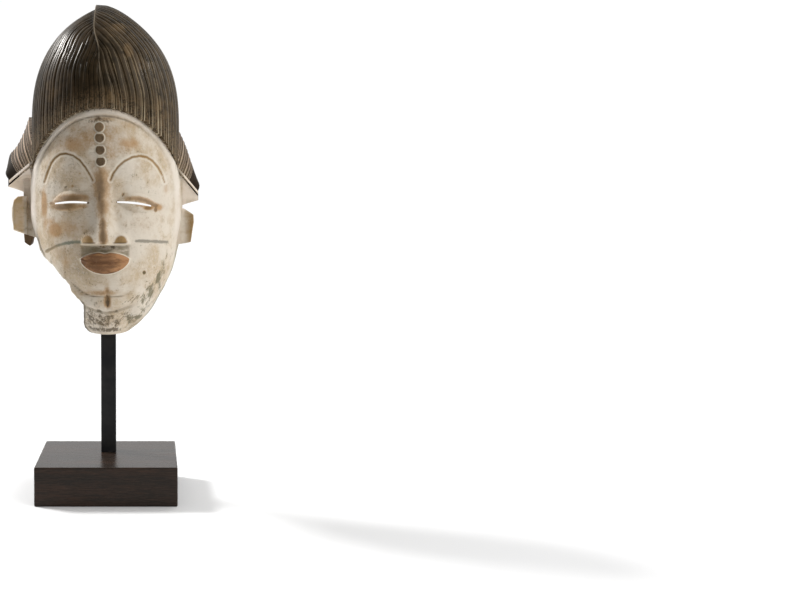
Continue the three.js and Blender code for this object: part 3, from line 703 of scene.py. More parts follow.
# Mask: side tresses, ears and stub
# A grooved tress hangs at each side from the coiffure to a cord above the ear. The ears are plain rounded
# blocks, the left one on a flat side plate, and under it hangs the stub of a broken piece. All are carved
# in one with the mask.

TRESSES = [
    {"side": -1,
     "outer": [(-69.8, 14, 329), (-74.2, 14, 316.5), (-80.4, 13, 304), (-86.5, 12, 296), (-88.7, 9, 284)],
     "cord": [(-59, -25, 292.5), (-72.5, -14, 283), (-85.7, -1, 273.5)],
     "under": [(-69, 17, 260.5), (-79, 17, 265), (-88.5, 14, 268)]},
    {"side": 1,
     "outer": [(60, 14, 322), (67.5, 14, 306), (73, 13, 290), (78, 9, 274)],
     "cord": [(56, -25, 288), (66, -14, 278), (78.5, -1, 264)],
     "under": [(63, 2, 251), (70, 2, 253.5), (79, 4, 256)]},
]
TRESS_RIDGES, TRESS_COLUMNS, TRESS_ROWS, TRESS_IN, TRESS_BELLY, SMOOTH_FROM = 13, 4, 12, 14.0, 4.0, 0.68
CORD_ROWS = [(0, -1.3, -0.4), (0, -1.6, -1.9), (0, 0.2, -2.7), (0, 2.4, -3.1), (0, 2.6, -4.3)]
# The rows left out of PALE_ROWS lie in the groove under the cord. They keep the dark tress finish as painted
# shade, while the cord and the underside take the clay.
PALE_ROWS = [0, 1, 2, 5, 6, 7, 8, 9]


def along_curve(points, t):
    """A smooth curve through points, at parts t of its way."""
    points = np.asarray(points, float)
    ends = np.concatenate([[2 * points[0] - points[1]], points, [2 * points[-1] - points[-2]]])
    place = held(t) * (len(points) - 1)
    i = np.minimum(place.astype(int), len(points) - 2)
    f = (place - i)[:, None]
    a, b, c, d = (ends[i + n] for n in range(4))
    return 0.5 * (2 * b + (c - a) * f + (2 * a - 5 * b + 4 * c - d) * f ** 2
                  + (3 * b - a - 3 * c + d) * f ** 3)


def tress_form(tress):
    side = tress["side"]
    t = parts(TRESS_RIDGES * TRESS_COLUMNS)
    groove = 1 - np.abs(np.cos(pi * TRESS_RIDGES * t)) ** 0.55
    relief = RIDGE_DEPTH * np.where(t < SMOOTH_FROM, groove, 0)
    start, end, low = (along_curve(tress[line], t) for line in ("outer", "cord", "under"))
    rows = []
    for v in parts(TRESS_ROWS):
        belly = TRESS_BELLY * sin(pi * v)
        row = mixed(start, end, v)
        row[:, 0] += side * 0.4 * (belly - relief)
        row[:, 1] += relief - belly
        rows.append(row)
    rows += [end + shift for shift in CORD_ROWS]
    rows += [mixed(end + CORD_ROWS[-1], low, v) for v in (0.25, 0.5, 0.75)] + [low]
    behind_low, behind_start = low.copy(), start.copy()
    behind_low[:, 1] = behind_start[:, 1] = BEHIND
    rings = np.stack(rows + [behind_low, behind_start], axis=1)
    inner = rings[:1] - (side * TRESS_IN, 0, 0)
    points, faces = skin_over(np.concatenate([inner, rings]))
    count = rings.shape[1]
    number = np.arange(len(faces))
    pale = np.isin(number % count - TRESS_ROWS, PALE_ROWS) & (number < count * len(rings))
    ridge = np.where(t < SMOOTH_FROM, TRESS_RIDGES * t + 10, 0)
    ridge_marks.append((rings[:, :TRESS_ROWS + 1], np.tile(ridge[:, None], TRESS_ROWS + 1)))
    return wood_piece("tress", points, faces, np.where(pale, FACE_PAINT, TRESS_PAINT))


EAR_FRONT, EAR_ROUND = -6.0, 3.5
PLATE_FRONT, PLATE_ROUND = -3.0, 1.5
STUB_FRONT, STUB_ROUND = 0.0, 1.6
BLOCKS = [
    ("side_plate", [(-58, 276), (-73, 276), (-73, 262), (-73, 227), (-58, 222)],
     PLATE_FRONT, PLATE_ROUND, FACE_PAINT),
    ("ear", [(-69.5, 260), (-77.8, 259.4), (-81.2, 256.4), (-83.4, 249), (-83.2, 243), (-81.8, 230),
             (-69.5, 226)], EAR_FRONT, EAR_ROUND, FACE_PAINT),
    ("ear", [(60, 249), (66, 248.6), (74.5, 243.5), (75, 237), (72, 219.5), (58, 217)],
     EAR_FRONT, EAR_ROUND, FACE_PAINT),
    ("stub", [(-73.5, 227), (-64.4, 227), (-66.6, 218), (-68.6, 216.3), (-72.8, 219.4)],
     STUB_FRONT, STUB_ROUND, BARE_PAINT),
]


def upright_block(name, outline, front, edge, paint):
    """A block of the given outline, seen from the front, with its front edges rounded."""
    corners = np.asarray(outline, float)
    after = np.roll(corners, -1, axis=0)
    outline = np.concatenate([mixed(a, b, parts(8)[:-1, None]) for a, b in zip(corners, after)])
    middle = outline.mean(0)
    away = outline - middle
    reach = np.linalg.norm(away, axis=1, keepdims=True)
    rings = []
    for inset, depth in [(0.9, 0.02), (0.7, 0), (0.5, 0), (0.29, 0.04), (0.12, 0.2), (0.03, 0.5), (0, 1)]:
        places = middle + away * (1 - inset * edge / reach * (3 if inset > 0.4 else 1))
        rings.append(spots(places[:, 0], front + depth * edge, places[:, 1]))
    for y in np.linspace(front + edge, BEHIND, 12)[1:]:
        rings.append(spots(outline[:, 0], y, outline[:, 1]))
    rings = np.stack(rings)
    rings += 0.35 * wave(rings, 9, 2, 6.0)[..., None]
    return wood_piece(name, *skin_over(rings), paint)


# Mask: the hollow, the eye slits and the broken rim
# The back is hollowed with an adze and left bare. The eyes are cut right through, so that light shows in
# them. The rim lies in one plane behind, and its lower left side is broken away.

HOLLOW_FLOOR, HOLLOW_CEILING, WALL, FACE_WALL, ROOF_CURVE = 166.0, 352.0, 9.0, 13.0, 40.0
ADZE_WIDTH, ADZE_DEPTH, HOLLOW_STEPS = 11.0, 0.7, 72


def hollow_form():
    heights = np.linspace(HOLLOW_FLOOR, HOLLOW_CEILING, HOLLOW_STEPS)
    z, angle = grid(heights, np.linspace(0, pi, HOLLOW_STEPS))
    into_roof = held((z - HOLLOW_CEILING + ROOF_CURVE) / ROOF_CURVE)
    roof = np.sqrt(held(1 - into_roof ** 2) + 0.02)
    floor_curve = np.sqrt(held(0.25 + (z - HOLLOW_FLOOR) / ROOF_CURVE))
    small = np.minimum(roof, floor_curve)
    half = (face_half(z) - WALL) * small
    deep = (face_front(z) + FACE_WALL - rim_y(z)) * small
    cut = ADZE_DEPTH * (np.abs(np.sin(z / ADZE_WIDTH * pi + 2 * np.sin(angle * 5)))
                        + np.abs(np.sin(angle * 8 + np.floor(z / ADZE_WIDTH) * 1.3)) - 1)
    x = face_middle(z) - (half - cut) * np.cos(angle)
    y = rim_y(z) + (deep + cut) * np.sin(angle)
    return wood_piece("hollow", *skin_over(closed_behind(spots(x, y, z), BEHIND + 5)), BARE_PAINT)


VIEW_X, VIEW_Z, VIEW_FAR = 39.2, 248.7, 914.0
SLIT_BEFORE, SLIT_BEYOND, SLIT_STEPS = 15, 40, 24


def slit_form(eye):
    t = parts(SLIT_STEPS)
    x = mixed(eye["slit"][0], eye["slit"][1], t)
    z = eye_place(eye, x)[2] + SLIT_ARCH * np.sin(pi * t)
    half = SLIT_WIDTH / 2 * (0.35 + 0.65 * np.sin(pi * held(0.08 + 0.84 * t)) ** 0.5)
    near, far = face_y(x, z) - SLIT_BEFORE, face_y(x, z) + SLIT_BEYOND
    reach = (far - near) / VIEW_FAR
    far_x, far_z = x + (x - VIEW_X) * reach, z + (z - VIEW_Z) * reach
    rings = np.stack([spots(x, near, z + half), spots(x, near, z - half),
                      spots(far_x, far, far_z - half), spots(far_x, far, far_z + half)], 1)
    return wood_piece("slit", *skin_over(rings), BARE_PAINT)


BREAK_EDGE = [
    (-65, 233), (-60.5, 224), (-57.3, 215.6), (-54.2, 210.6), (-51.5, 206), (-43.6, 200.4),
    (-39.2, 195.4), (-34.6, 190.4), (-29.8, 185.6), (-28.3, 180.4), (-24, 175.3), (-18.9, 170.3),
    (-18.3, 168), (-18.8, 160), (-19.3, 153), (-18.8, 147.5), (-16.5, 144), (-12, 141)]
BREAK_ROUGH, BREAK_LEAN, BREAK_STEPS = 0.5, 0.09, 110
BREAK_FRONT, BREAK_LAYERS, BREAK_OUTSIDE = -100, 80, [(-120, 120), (-120, 240)]


def break_form():
    path = np.array([(-66, 240)] + BREAK_EDGE + [(-11, 120)], float)
    lengths = np.concatenate([[0], np.cumsum(np.linalg.norm(np.diff(path, axis=0), axis=1))])
    at = np.linspace(0, lengths[-1], BREAK_STEPS)
    edge = np.stack([np.interp(at, lengths, path[:, 0]), np.interp(at, lengths, path[:, 1])], axis=1)
    rings = []
    for y in np.linspace(BREAK_FRONT, BEHIND, BREAK_LAYERS):
        outside = [(x, y, z) for x, z in BREAK_OUTSIDE]
        rings.append(np.concatenate([spots(edge[:, 0], y, edge[:, 1]), outside]))
    rings = np.stack(rings)
    rough = BREAK_ROUGH * wave(rings * (1, 0.4, 1), 3.5, 3, 2.0)
    lean = BREAK_LEAN * np.maximum(rings[..., 1] + 40, 0) * ease(rings[..., 2] - 203, 8)
    rings[:, :-2, 0] += (rough - lean)[:, :-2]
    rings[:, :-2, 2] += rough[:, :-2]
    return wood_piece("break", *skin_over(rings), BARE_PAINT)


BEYOND_ACROSS, BEYOND_UP, BEYOND_BACK = (-150, 150, 76), (60, 480, 106), 150


def behind_rim_form():
    x, z = grid(np.linspace(*BEYOND_ACROSS), np.linspace(*BEYOND_UP))
    near = spots(x, rim_y(z), z)
    near[..., 1] += 0.3 * wave(near, 14, 3, 5.0)
    return wood_piece("behind_rim", *skin_over(closed_behind(near, BEYOND_BACK)), BARE_PAINT)


ROD_SIDE, ROD_FRONT, TOUCH_GAP = 13.0, 5.3, 0.3


def slot_form():
    half = ROD_SIDE / 2 + TOUCH_GAP
    front = ROD_FRONT - TOUCH_GAP
    corners = [(-half, front), (half, front), (half, 90), (-half, 90)]
    rings = np.array([[(x, y, z) for x, y in corners] for z in (100.0, HOLLOW_CEILING)])
    return wood_piece("rod_slot", *skin_over(rings), BARE_PAINT)


def carve(wood, operation, *pieces):
    """Joins pieces to the wood or cuts them out of it."""
    for piece in pieces:
        step = wood.modifiers.new("carve", "BOOLEAN")
        step.operation = operation
        step.solver = "MANIFOLD"
        step.object = piece
    shape = bpy.data.meshes.new_from_object(wood.evaluated_get(bpy.context.evaluated_depsgraph_get()))
    wood.modifiers.clear()
    wood.data = shape
    for piece in pieces:
        bpy.data.objects.remove(piece)


mask = coiffure()
mask.name = "carved_mask"
carve(mask, "UNION", face_form(), *[tress_form(tress) for tress in TRESSES])
carve(mask, "DIFFERENCE", break_form())
carve(mask, "UNION", *[upright_block(*block) for block in BLOCKS])
carve(mask, "DIFFERENCE", hollow_form(), *[slit_form(eye) for eye in EYES], behind_rim_form(), slot_form())


# Mask: clay, black, wear and painted light
# White clay covers the face. Its left half is painted darker, partly as painted shade and partly where the
# clay lies thinner and brown wood shows through. The lips are red clay, the coiffure is blackened and oiled,
# and dirt has settled in the grooves and round the collar. Painted shade lies under the nose, below the
# chin's edge, in the chin crease and on the lids. Painted highlights lie along the brows, the nose's foot,
# the ear rims and the parting, and the left rim, the tress undersides and the left ear are painted lighter
# as painted light.

ORANGE = [
    (-41.5, 231, 7, 6.5, 1.5), (-45.6, 238, 6, 5, 0.8), (-51.5, 252, 3.2, 13, 1.4), (-50.5, 236, 3, 8, 0.8),
    (19, 301, 12, 6, 0.9), (-24.3, 300, 15, 8, 0.9), (50.2, 265, 2.5, 5, 0.6), (36, 249.5, 6, 2.4, 1.1),
    (44, 249.5, 4, 3, 1.2), (-32, 205, 6, 7, 0.6), (-29, 233, 14, 8, 0.75), (-38, 212, 7, 6, 0.5),
    (4, 296, 8, 12, 0.5), (-46, 290, 4, 8, 0.45), (-30, 314, 12, 5, 0.5), (20, 316, 14, 4, 0.4),
]
# Brown patches: wood showing through worn clay and stains, and also painted shade on the lids above and
# below the slits, at the left eye's outer corner and along the chin crease.
WEAR_AND_SHADE = [
    (-2.2, 267, 8, 20, 1.15), (-1.4, 250, 6.5, 13, 1.05), (-2.2, 245.7, 1.3, 1.6, 1.2),
    (-0.8, 236, 3.4, 8, 1.2), (-0.4, 226, 3.6, 8, 1.6), (-26, 257.2, 15, 3.4, 1.5),
    (-34, 249.6, 9, 2.2, 1.7), (-3.6, 258, 2.2, 9, 1.3), (-37, 254.6, 7, 2.4, 1.2),
    (-32, 250.4, 14, 3.2, 1.5), (-20, 250.6, 8, 2.4, 0.9), (35.6, 249.3, 3.4, 1.6, 1.9),
    (41.6, 248, 1.5, 2, 1.9), (41.2, 251.4, 3.6, 1.8, 1.5), (30, 251, 6, 1.6, 0.7),
    (-44, 253, 3.4, 1.4, 1.3), (1.6, 181, 2.6, 6, 0.9), (1.9, 172.4, 2.9, 5.6, 1.7),
    (-4, 179.6, 17, 3, 0.85), (32, 196, 1.1, 1.4, 3.0), (-2.2, 319.9, 12, 2.5, 0.7),
    (-18, 178.5, 9, 2.4, 0.5), (-26, 267, 1.3, 1.3, 1.0), (15, 260, 1.6, 1.6, 0.9),
    (13.4, 243, 1.1, 3, 0.6), (-19.5, 277, 1.6, 1.2, 0.8), (-51, 275, 4, 9, 0.4), (-7, 283, 6, 8, 0.55),
    (-4, 308, 26, 12, 0.68), (6, 296, 16, 9, 0.55), (30, 236, 17, 13, 0.36), (47, 246, 9, 16, 0.3),
    (20, 190, 14, 8, 0.25), (-40, 300, 12, 10, 0.35), (-26, 243, 24, 16, 0.28), (-30, 210, 16, 16, 0.3),
]
# Dark olive patches: dirt on the jaw and collar, and painted shade under the nose and just below the chin's
# edge.
DIRT_AND_SHADE = [
    (43.8, 190, 2.4, 6, 1.5), (37.5, 178, 3, 8, 1.15), (34.5, 168, 4.5, 6, 0.95), (20, 157, 8, 6, 0.75),
    (18.5, 164, 5, 4, 0.5), (-5.5, 164.4, 3.2, 1.3, 1.9), (9.2, 164.4, 1.7, 0.8, 1.8), (0, 155, 25, 9, 0.6),
    (-13, 159, 6, 8, 0.95), (0, 147.2, 20, 1.8, 1.3), (20, 155.5, 4, 4, 1.0), (4, 157.5, 5, 3, 0.9),
    (-3.8, 320.4, 4.5, 1.2, 1.4), (-3, 318.5, 12, 1.6, 0.8), (48, 200, 3, 14, 0.5), (52, 214, 3, 10, 0.4),
    (31.8, 196, 1.2, 1.4, 2.0), (-12, 170, 5, 3, 0.4), (2, 170.6, 1.3, 4, 1.45),
    (1.8, 176.5, 1.2, 2.5, 0.9), (45, 183, 1.5, 8, 1.2), (31, 163, 2.5, 4, 1.1), (22, 151, 9, 6, 0.62),
    (31, 171, 6, 6, 0.72), (26, 157, 4, 2, 1.6), (-13, 253.5, 0.9, 0.9, 1.9), (10.7, 254, 0.9, 0.9, 1.9),
    (2, 217.4, 8, 2, 0.9), (-32, 266, 1, 1, 1.2), (-23, 285, 6, 2.5, 0.6),
]
SCRATCHES = [
    [(18.5, 171.5), (23.5, 176)], [(21, 170.5), (27.5, 177.5)], [(14, 170), (18, 173)],
    [(14.5, 258.5), (16, 261.5)], [(-52, 300), (-44, 309)], [(-10, 322), (8, 322.5)],
]
POLISH = [(-32, 376, 14, 22, 1.0), (-18, 372, 12, 22, 0.6), (34, 363, 11, 20, 1.3), (14, 366, 12, 16, 0.4)]
RUST = [
    (19.5, 377, 4, 7, 1.2), (10, 396, 12, 9, 0.6), (30, 366, 8, 10, 0.4), (46, 330, 10, 16, 0.5),
    (5, 338, 16, 8, 0.5), (-44, 345, 8, 14, 0.5),
]


LID_STAIN_AND_SHADE, STAIN_AND_SHADE_WIDTH = [(18, 256.2), (27, 257), (34, 254.9), (42, 250.8)], 2.6
WING_MIDDLES, WING_LOW, WING_WIDE, WING_HIGH = (-13.2, 13.6), 221.3, 6.6, 7.4


def lid_stain_and_shade(x, z):
    """The brown along the right upper lid, stronger towards its outer corner: partly stain, partly painted
    shade above the slit.
    """
    return mixed(0.75, 1.25, ease(x - 18, 16)) * hump(distance_to(LID_STAIN_AND_SHADE, x, z) / STAIN_AND_SHADE_WIDTH)


def nostril_domes(x, z):
    """The golden domes of the two nostrils, flat below."""
    up = (z - WING_LOW) / WING_HIGH
    away = np.min([np.hypot((x - middle) / WING_WIDE, up) for middle in WING_MIDDLES], axis=0)
    return ease(1 - away, 0.5) * (z > WING_LOW - 0.4)


places = np.empty(len(mask.data.vertices) * 3, np.float32)
mask.data.vertices.foreach_get("co", places)
places = places.reshape(-1, 3).astype(float) / MM
at_x, at_y, at_z = places.T
frontal = ease(-at_y - 2, 12)
not_front = 20 * (1 - frontal)
parting_path = [(x, z) for x, y, z in ridge_marks[0][0][:HAIR_COLUMNS // 2:3, 0].tolist()]
marked = np.concatenate([points.reshape(-1, 3) for points, ridge in ridge_marks])
ridge_values = np.concatenate([ridge.reshape(-1) for points, ridge in ridge_marks])
tree_of_points = kdtree.KDTree(len(marked))
for number, point in enumerate(marked.tolist()):
    tree_of_points.insert(point, number)
tree_of_points.balance()


def nearest_line(lines):
    return np.min([distance_to(line, at_x, at_z) for line in lines], axis=0)


def patched(patches):
    """Soft patches: the middle, half width, half height and strength of each."""
    total = np.zeros_like(at_x)
    for x, z, wide, high, strength in patches:
        total = np.maximum(total, strength * hump((at_x - x) / wide, (at_z - z) / high))
    return total


marks = {
    "band": band_distance(at_x, at_z),
    "brows": nearest_line(BROWS),
    "stripes": nearest_line(STRIPES),
    "lips": np.where(frontal > 0.5, lips_distance(at_x, at_z), -9),
    "dots": np.where(frontal > 0.5, dots_distance(at_x, at_z), -9),
    "orange": patched(ORANGE) * frontal,
    "wear_and_shade": np.maximum(patched(WEAR_AND_SHADE), lid_stain_and_shade(at_x, at_z)) * frontal,
    "gold": nostril_domes(at_x, at_z) * frontal,
    "broken": nearest_line([BREAK_EDGE]),
    "dirt_and_shade": patched(DIRT_AND_SHADE) * frontal,
    "polish": patched(POLISH),
    "rust": patched(RUST),
    "scratches": nearest_line(SCRATCHES) + 9 * (1 - frontal),
    "shade_and_stripe_under_nose": box_recess(at_x, at_z) * frontal,
    "chin": chin_edge(at_x) - at_z + not_front,
    "parting": nearest_line([parting_path]) + 20 * (at_y > 0),
    "crease": np.abs(at_z - crease_height(at_x)) + not_front,
    "ridge": [ridge_values[tree_of_points.find(point)[1]] for point in places.tolist()],
}
for name, values in marks.items():
    mark = mask.data.attributes.new(name, "FLOAT", "POINT")
    mark.data.foreach_set("value", np.asarray(values, np.float32))


def marked_tones(coat, *names):
    tone = Tone(coat.node_tree)
    return [tone.node("ShaderNodeAttribute", {"attribute_name": name}, output=2) for name in names]


def along(coat, *axes):
    """The place on the piece along each axis, in millimetres."""
    space = Tone(coat.node_tree).node("ShaderNodeTexCoord", output=3)
    return [space.node("ShaderNodeSeparateXYZ", {}, {0: space}, axis) / MM for axis in axes]


def laid_over(under, layers):
    """The tone under, with the colour of each layer over it as far as its amount says."""
    for amount, colour in layers:
        under = amount.cover(under, colour)
    return under


def paint_clay(coat):
    x, y, z = along(coat, 0, 1, 2)
    wide = grained(coat, 0.028, 5, 0.62, seed=1.0)
    middle = grained(coat, 0.1, 6, 0.62, seed=2.0)
    fine = grained(coat, 0.5, 5, 0.65, seed=3.0)
    speck = grained(coat, 1.2, 2, 0.5, seed=4.0)
    fibre = grained(coat, 0.3, 5, 0.65, (0.15, 1, 1), 6.0) - 0.5
    fibre_up = grained(coat, 0.45, 3, 0.6, (1, 1, 0.15), 8.0) - 0.5
    streaks = grained(coat, 0.55, 4, 0.6, (0.22, 1, 1), 21.0)
    across_rim = grained(coat, 0.7, 3, 0.6, (1, 1, 0.35), 17.0) - 0.5
    cloudy, mottled, grainy = wide - 0.5, middle - 0.5, fine - 0.5
    # left marks the left half of the face, which is painted darker below: partly painted shade, where less
    # light falls, and partly thinner clay.
    left = x.rise(25, -45)

    dull_and_left_shade = (left * 0.18 + cloudy * 4.5 + mottled * 1.2 + 0.31).rise()
    stain = (cloudy * 3 + mottled * 1.8 + fibre * 2.6 + left * 0.1 + 0.15).rise(0.1, 1.3)
    streaky = ((streaks - 0.52) * 6 * (0.4 + left * 0.6)).rise(0, 1.2)
    crust = (grainy * 2.6 + cloudy * 2 - mottled).rise(0.15, 0.8)
    clay = laid_over(dull_and_left_shade.cover((0.65, 0.578, 0.478), (0.54, 0.43, 0.298)), [
        (stain * 0.6, (0.44, 0.335, 0.21)), (streaky, (0.4, 0.32, 0.22)),
        (crust * 0.55, (0.72, 0.66, 0.57))])

    orange, wear_and_shade, gold, dirt_and_shade, broken = marked_tones(coat, "orange", "wear_and_shade", "gold", "dirt_and_shade", "broken")
    orange = (orange * 1.15 + mottled * 0.9 + grainy * 0.6 - 0.2).rise(-0.1, 1.05)
    # The brown patches: wear and stains, with painted shade on the lids and along the chin crease.
    wear_and_shade = wear_and_shade * 1.25 + mottled * 0.8 + grainy * 0.9 - 0.2
    wear_and_shade_tone = wear_and_shade.rise(0.6, 1.4).cover((0.36, 0.21, 0.085), (0.17, 0.085, 0.018))
    gold = (gold * 1.3 + grainy * 0.6 + mottled * 0.8 - 0.15).rise()
    gold_tone = x.rise(-20, -14).cover((0.34, 0.21, 0.08), (0.24, 0.13, 0.026))
    dirt = grainy * 2 + across_rim * 2 + mottled * 3.4
    # The olive patches: dirt, with painted shade under the nose and below the chin's edge.
    dirt_and_shade = (dirt_and_shade * 1.25 + dirt - 0.42).rise(0, 0.85)
    dirt_and_shade_tone = x.rise(10, 24).cover((0.09, 0.062, 0.032), (0.14, 0.12, 0.06))
    broken = 1 - (broken + grainy - z.rise(180, 170) * 0.8).rise(0.3, 1.3)
    broken = broken * z.rise(175, 170).most(z.rise(205, 212)) * 0.75 * z.rise(234, 226)
    edge = (y - (z - COLLAR_LOW) * RIM_LEAN + across_rim * 10).rise(-17, -8)
    edge = edge * x.rise(0, 8) * z.rise(225, 212)
    specks = speck.rise(0.64, 0.72) * (middle + cloudy).rise(0.42, 0.6) * 0.7
    worn = laid_over(clay, [
        (orange * 0.85, (0.41, 0.23, 0.088)), (wear_and_shade.rise(0, 0.9) * 0.85, wear_and_shade_tone),
        (gold * 0.92, gold_tone), (dirt_and_shade * 0.85, dirt_and_shade_tone), (broken, (0.1, 0.09, 0.06)),
        (edge * 0.6, (0.13, 0.135, 0.08)), (specks, (0.14, 0.1, 0.06))])

    shade_and_stripe_under_nose, chin, crease, scratches = marked_tones(coat, "shade_and_stripe_under_nose", "chin", "crease", "scratches")
    across = (x - NOSE_X).size()
    # The sunk place under the nose is darkened: painted shade under the nose, together with the dark stripe
    # paint.
    shade_and_stripe_under_nose = shade_and_stripe_under_nose * (fibre * 3 + 0.66).rise() * z.rise(NOSE_BASE - 0.8, NOSE_BASE - 2.4)
    shade_and_stripe_under_nose = shade_and_stripe_under_nose * (0.5 + (x - 1.5).size().rise(20, 4) * 0.42)
    nose_front = y.rise(-40, -50)
    # The pale line along the nose's foot is a painted highlight on the edge of its ledge.
    nose_foot_highlight = (z - NOSE_BASE + 0.1).near(0.3, 0.9) * across.rise(WING_HALF + 1, WING_HALF - 1) * nose_front
    wing_edge = (z - NOSE_BASE - 1.4).near(0.4, 1.1) * (across - 12.5).near(4, 6.5) * nose_front
    # Darker just below the chin's edge: painted shade under the chin, with some dirt.
    shade_and_dirt_under_chin = (chin - 1.6 + mottled * 2).near(0.5, 2) * (x - 1.5).near(16, 24)
    # The chin crease is darkened: painted shade in the crease.
    crease = (1 - (crease + mottled * 1.2).rise(0.2, 1.1)) * x.rise(24, 6) * x.rise(-31, -26)
    scratch = 1 - (scratches + grainy * 0.5).rise(0.2, 0.6)

    band, brows, stripes = marked_tones(coat, "band", "brows", "stripes")
    band_line = (band + 3.7 + mottled * 1.6).near(0.3, 1.2) * (middle * 2 - 0.2).rise()
    band_line = band_line * z.rise(280, 296) * (1 - x.rise(0, 40) * 0.85)
    # The tress undersides are pale clay, painted lighter still: painted light on faces that lie in shade.
    lit_clay_under_tress = x.size().rise(64, 66) * z.rise(290, 284) * (z - x.size().rise(66, 69) * 12).rise(242, 247)
    # The left rim beyond the band is painted pale: painted light on a rounded rim that lies in shade.
    lit_left_rim = (band + mottled * 3).rise(-5, 0) * x.rise(-25, -42) * y.rise(-6, -10) * z.rise(205, 230)
    pale_band = band.near(1.2, 3.4) * z.rise(200, 240)
    fringe = (band + (fibre_up * 12 + grainy * 3)).rise(1.6, 3.2) * band.rise(-1.6, 1.5)
    fringe = fringe * z.rise(270, 284) * x.size().rise(66.5, 65.5)
    fringe_tone = (fine + middle * 0.4).rise(0.6, 0.85).cover((0.06, 0.042, 0.024), (0.2, 0.14, 0.08))
    brow = 1 - (brows - x.rise(-10, 10) * 0.1 + grainy * 0.8 + z.rise(284, 270) * 0.25).rise(0.25, 1.25)
    brow_tone = x.rise(-36, -48).most(x.rise(0, 45)).cover((0.17, 0.092, 0.022), (0.31, 0.18, 0.06))
    stripe = 1 - (stripes + mottled * 2.6 + grainy * 1.4).rise(0.6, 1.8)
    stripe_tone = x.rise(-44, -32).cover((0.22, 0.16, 0.075), (0.17, 0.19, 0.14))
    stripe_tone = x.rise(0, 20).cover(stripe_tone, (0.2, 0.18, 0.14))

    ear_edge = (x.size() - 74).size().rise(5, 8).most((z - 242).size().rise(10, 15))
    ear = (x.rise(-73, -74.5) * z.rise(263, 261)).most((x + mottled * 6).rise(64, 73) * z.rise(250, 248.5))
    ear_wear = ear_edge * 0.5 + 0.22 + mottled * 1.6 + x.rise(-60, 60) * (z.rise(240, 224) * 0.45 + 0.4)
    # The front of the left ear is painted a lighter, warmer ochre: partly its own tone, partly painted light
    # on a face in shade.
    lit_ochre_ear_face = x.rise(-71, -74) * z.rise(262, 258) * z.rise(222, 228) * y.rise(EAR_FRONT + 6, EAR_FRONT + 3)
    # A pale line round the ears' outer edges: a painted highlight where the edge catches the light.
    ear_rim_highlight = x.rise(-80.6, -82.2).most((z + x * 0.33 - 203).rise(1.6, 0.8)) * x.rise(-70, -72)
    ear_rim_highlight = ear_rim_highlight * z.rise(262, 260) * y.rise(5, 0) * z.rise(226, 228)

    dots, lips = marked_tones(coat, "dots", "lips")
    dot_tone = (middle + fine * 0.6 + z.rise(306, 312) * 0.3).rise(0.55, 1.1)
    dot_tone = dot_tone.cover((0.055, 0.034, 0.015), (0.19, 0.125, 0.065))
    red = (x.rise(2, 18) * 0.9 + fibre * 3.4 + 0.2).rise().cover((0.18, 0.085, 0.036), (0.42, 0.215, 0.095))
    red = (grainy * 3 + mottled).rise().cover(red, (0.3, 0.17, 0.09))
    skin = laid_over(worn, [
        (shade_and_stripe_under_nose, (0.17, 0.145, 0.08)), (nose_foot_highlight * 0.7, (0.68, 0.6, 0.47)),
        (wing_edge * 0.75, (0.13, 0.075, 0.02)), (shade_and_dirt_under_chin * 0.5, (0.2, 0.16, 0.1)),
        (band_line * 0.65, (0.17, 0.135, 0.1)), (lit_clay_under_tress * 0.55, (0.84, 0.73, 0.62)),
        (lit_left_rim * 0.6, (0.84, 0.76, 0.68)), (pale_band * middle, (0.76, 0.69, 0.61)),
        (ear * ear_wear.rise(), (0.27, 0.17, 0.065)), (lit_ochre_ear_face * (middle - 0.05), (0.76, 0.53, 0.28)),
        (ear_rim_highlight * 0.8, (0.78, 0.68, 0.53)), (fringe * 0.8, fringe_tone),
        # The pale line just off each brow is a painted highlight on the brow's edge.
        ((brows - 1.9).near(0.3, 1) * 0.45, (0.72, 0.66, 0.56)), (brow * (0.6 + middle * 0.6), brow_tone),
        (stripe * 0.8, stripe_tone), (crease * 0.75, (0.15, 0.11, 0.06)), (scratch * 0.7, (0.13, 0.1, 0.06)),
        ((dots + 0.75).near(0.2, 0.6), (0.66, 0.6, 0.49)),
        ((dots + grainy * 0.6).rise(-0.25, 0.15), dot_tone),
        ((lips + 0.35).near(0.2, 0.7) * (middle + fine - 0.4).rise(0, 0.5), (0.7, 0.64, 0.53)),
        ((lips + grainy * 0.7).rise(-0.1, 0.35), red)])
    rough = 0.6 + fine * 0.25 - wear_and_shade.rise() * 0.12
    height = fine * 0.8 + middle * 1.2 + speck * 0.15 - (1 - crust) * 0.15
    feed(coat, Base_Color=skin, Roughness=rough, Normal=height.bump(0.6, 0.0005), Specular_IOR_Level=0.35)


WARM_SHEEN = (1, 0.88, 0.74, 1)


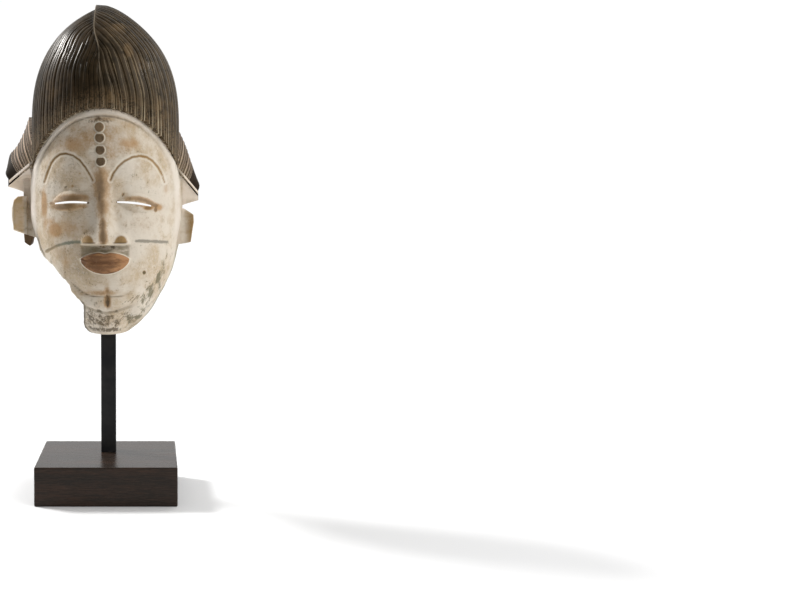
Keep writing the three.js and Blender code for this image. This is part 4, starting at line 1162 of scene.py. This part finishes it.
def paint_hair(coat, ridge_tones, line_tone, line_width, base_rough):
    x, z = along(coat, 0, 2)
    ridge, band, polish, rust, parting = marked_tones(coat, "ridge", "band", "polish", "rust", "parting")
    wide = grained(coat, 0.03, seed=7.0)
    middle = grained(coat, 0.13, 5, 0.6, seed=8.0)
    fine = grained(coat, 0.7, 4, 0.65, seed=9.0)
    mottled, grainy = middle - 0.5, fine - 0.5
    line = 1 - ((ridge.fraction() - 0.5).size() + grainy * 0.12).rise(0.02, line_width)
    between = 1 - (((ridge * 2).fraction() - 0.5).size() + grainy * 0.15).rise(0.02, 0.12)
    above_band = band - 4
    near_line = 1 - (above_band + mottled * 18).rise(0, 22)
    rust = (rust * 1.2 + mottled + grainy - 0.2).rise(0, 0.9)
    right = x.rise(-12, 8)
    uneven = (ridge * 4.3).sine() * 0.35 + 0.6
    shown = (line_width * 3 + near_line * 0.2 + right * 0.6).least(1)
    shown = shown * (middle * 2.4 - 0.65 + line_width).rise(0, 0.75) * (1 - x.rise(54, 64) * 0.4)
    lines = line.most(between * (right * 0.6).most(line_width * 4 - 0.2)) * uneven
    stroke = (ridge * 2.3).sine() * 2.5 - x.size().rise(5, 45) * 5 + (wide - 0.5) * 10
    combed = (1 - (above_band + stroke).rise(-3, 9)) * line.most(between * 0.7) * uneven
    # The pale line along the parting is a painted highlight where the edge of the step between the lobes
    # catches the light.
    parting = 1 - (parting + mottled * 0.8).rise(0.2, 0.75)
    smooth = 1 - ridge.rise(0, 0.05)
    black = laid_over((middle * 0.8 + wide * 0.6).rise(0.5, 0.9).cover(*ridge_tones), [
        (near_line * (fine * 1.2 + middle * 0.4).rise(0.65, 1.0), (0.14, 0.092, 0.048)),
        (rust * 0.8, (0.13, 0.08, 0.035)), (lines * shown * fine.rise(0.25, 0.45), line_tone),
        (combed * (fine * 2 - 0.2), (0.56, 0.48, 0.35)),
        (parting * (z.rise(325, 372) * 0.4 + z.rise(376, 384) * 0.4), (0.25, 0.2, 0.14)),
        (smooth * 0.8, (0.018, 0.012, 0.008))])
    rough = base_rough + middle * 0.2 - polish * 0.28 + near_line * 0.25 + line * 0.1
    height = fine * 0.4 + middle * 0.6 - line * 0.5
    feed(coat, Base_Color=black, Roughness=rough, Normal=height.bump(0.35, 0.0003),
         Specular_IOR_Level=0.18, Specular_Tint=WARM_SHEEN)


def paint_bare(coat):
    fibre = grained(coat, 0.3, 5, 0.6, (1, 1, 0.1), 11.0)
    wide = grained(coat, 0.04, seed=12.0)
    fine = grained(coat, 0.6, seed=13.0)
    wood = (fibre * 0.6 + wide * 0.6).rise(0.4, 0.8).cover((0.075, 0.045, 0.024), (0.19, 0.12, 0.065))
    wood = ((wide - 0.55) * 5).rise().cover(wood, (0.05, 0.034, 0.02))
    feed(coat, Base_Color=wood, Roughness=fibre * 0.2 + 0.6,
         Normal=(fibre * 0.7 + fine * 0.4).bump(0.6, 0.0004), Specular_IOR_Level=0.3)


HAIR_LOOK = {"ridge_tones": ((0.015, 0.01, 0.004), (0.045, 0.028, 0.012)),
             "line_tone": (0.46, 0.36, 0.23), "line_width": 0.075, "base_rough": 0.4}
TRESS_LOOK = {"ridge_tones": ((0.015, 0.01, 0.006), (0.045, 0.03, 0.018)),
              "line_tone": (0.85, 0.68, 0.54), "line_width": 0.36, "base_rough": 0.6}

hair, clay, tress_wood, bare_wood = mask_finishes
paint_hair(hair, **HAIR_LOOK)
paint_clay(clay)
paint_hair(tress_wood, **TRESS_LOOK)
paint_bare(bare_wood)
mask.data.shade_smooth()
mask.data.set_sharp_from_angle(angle=radians(40))
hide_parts("mask")
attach(mask, "root")
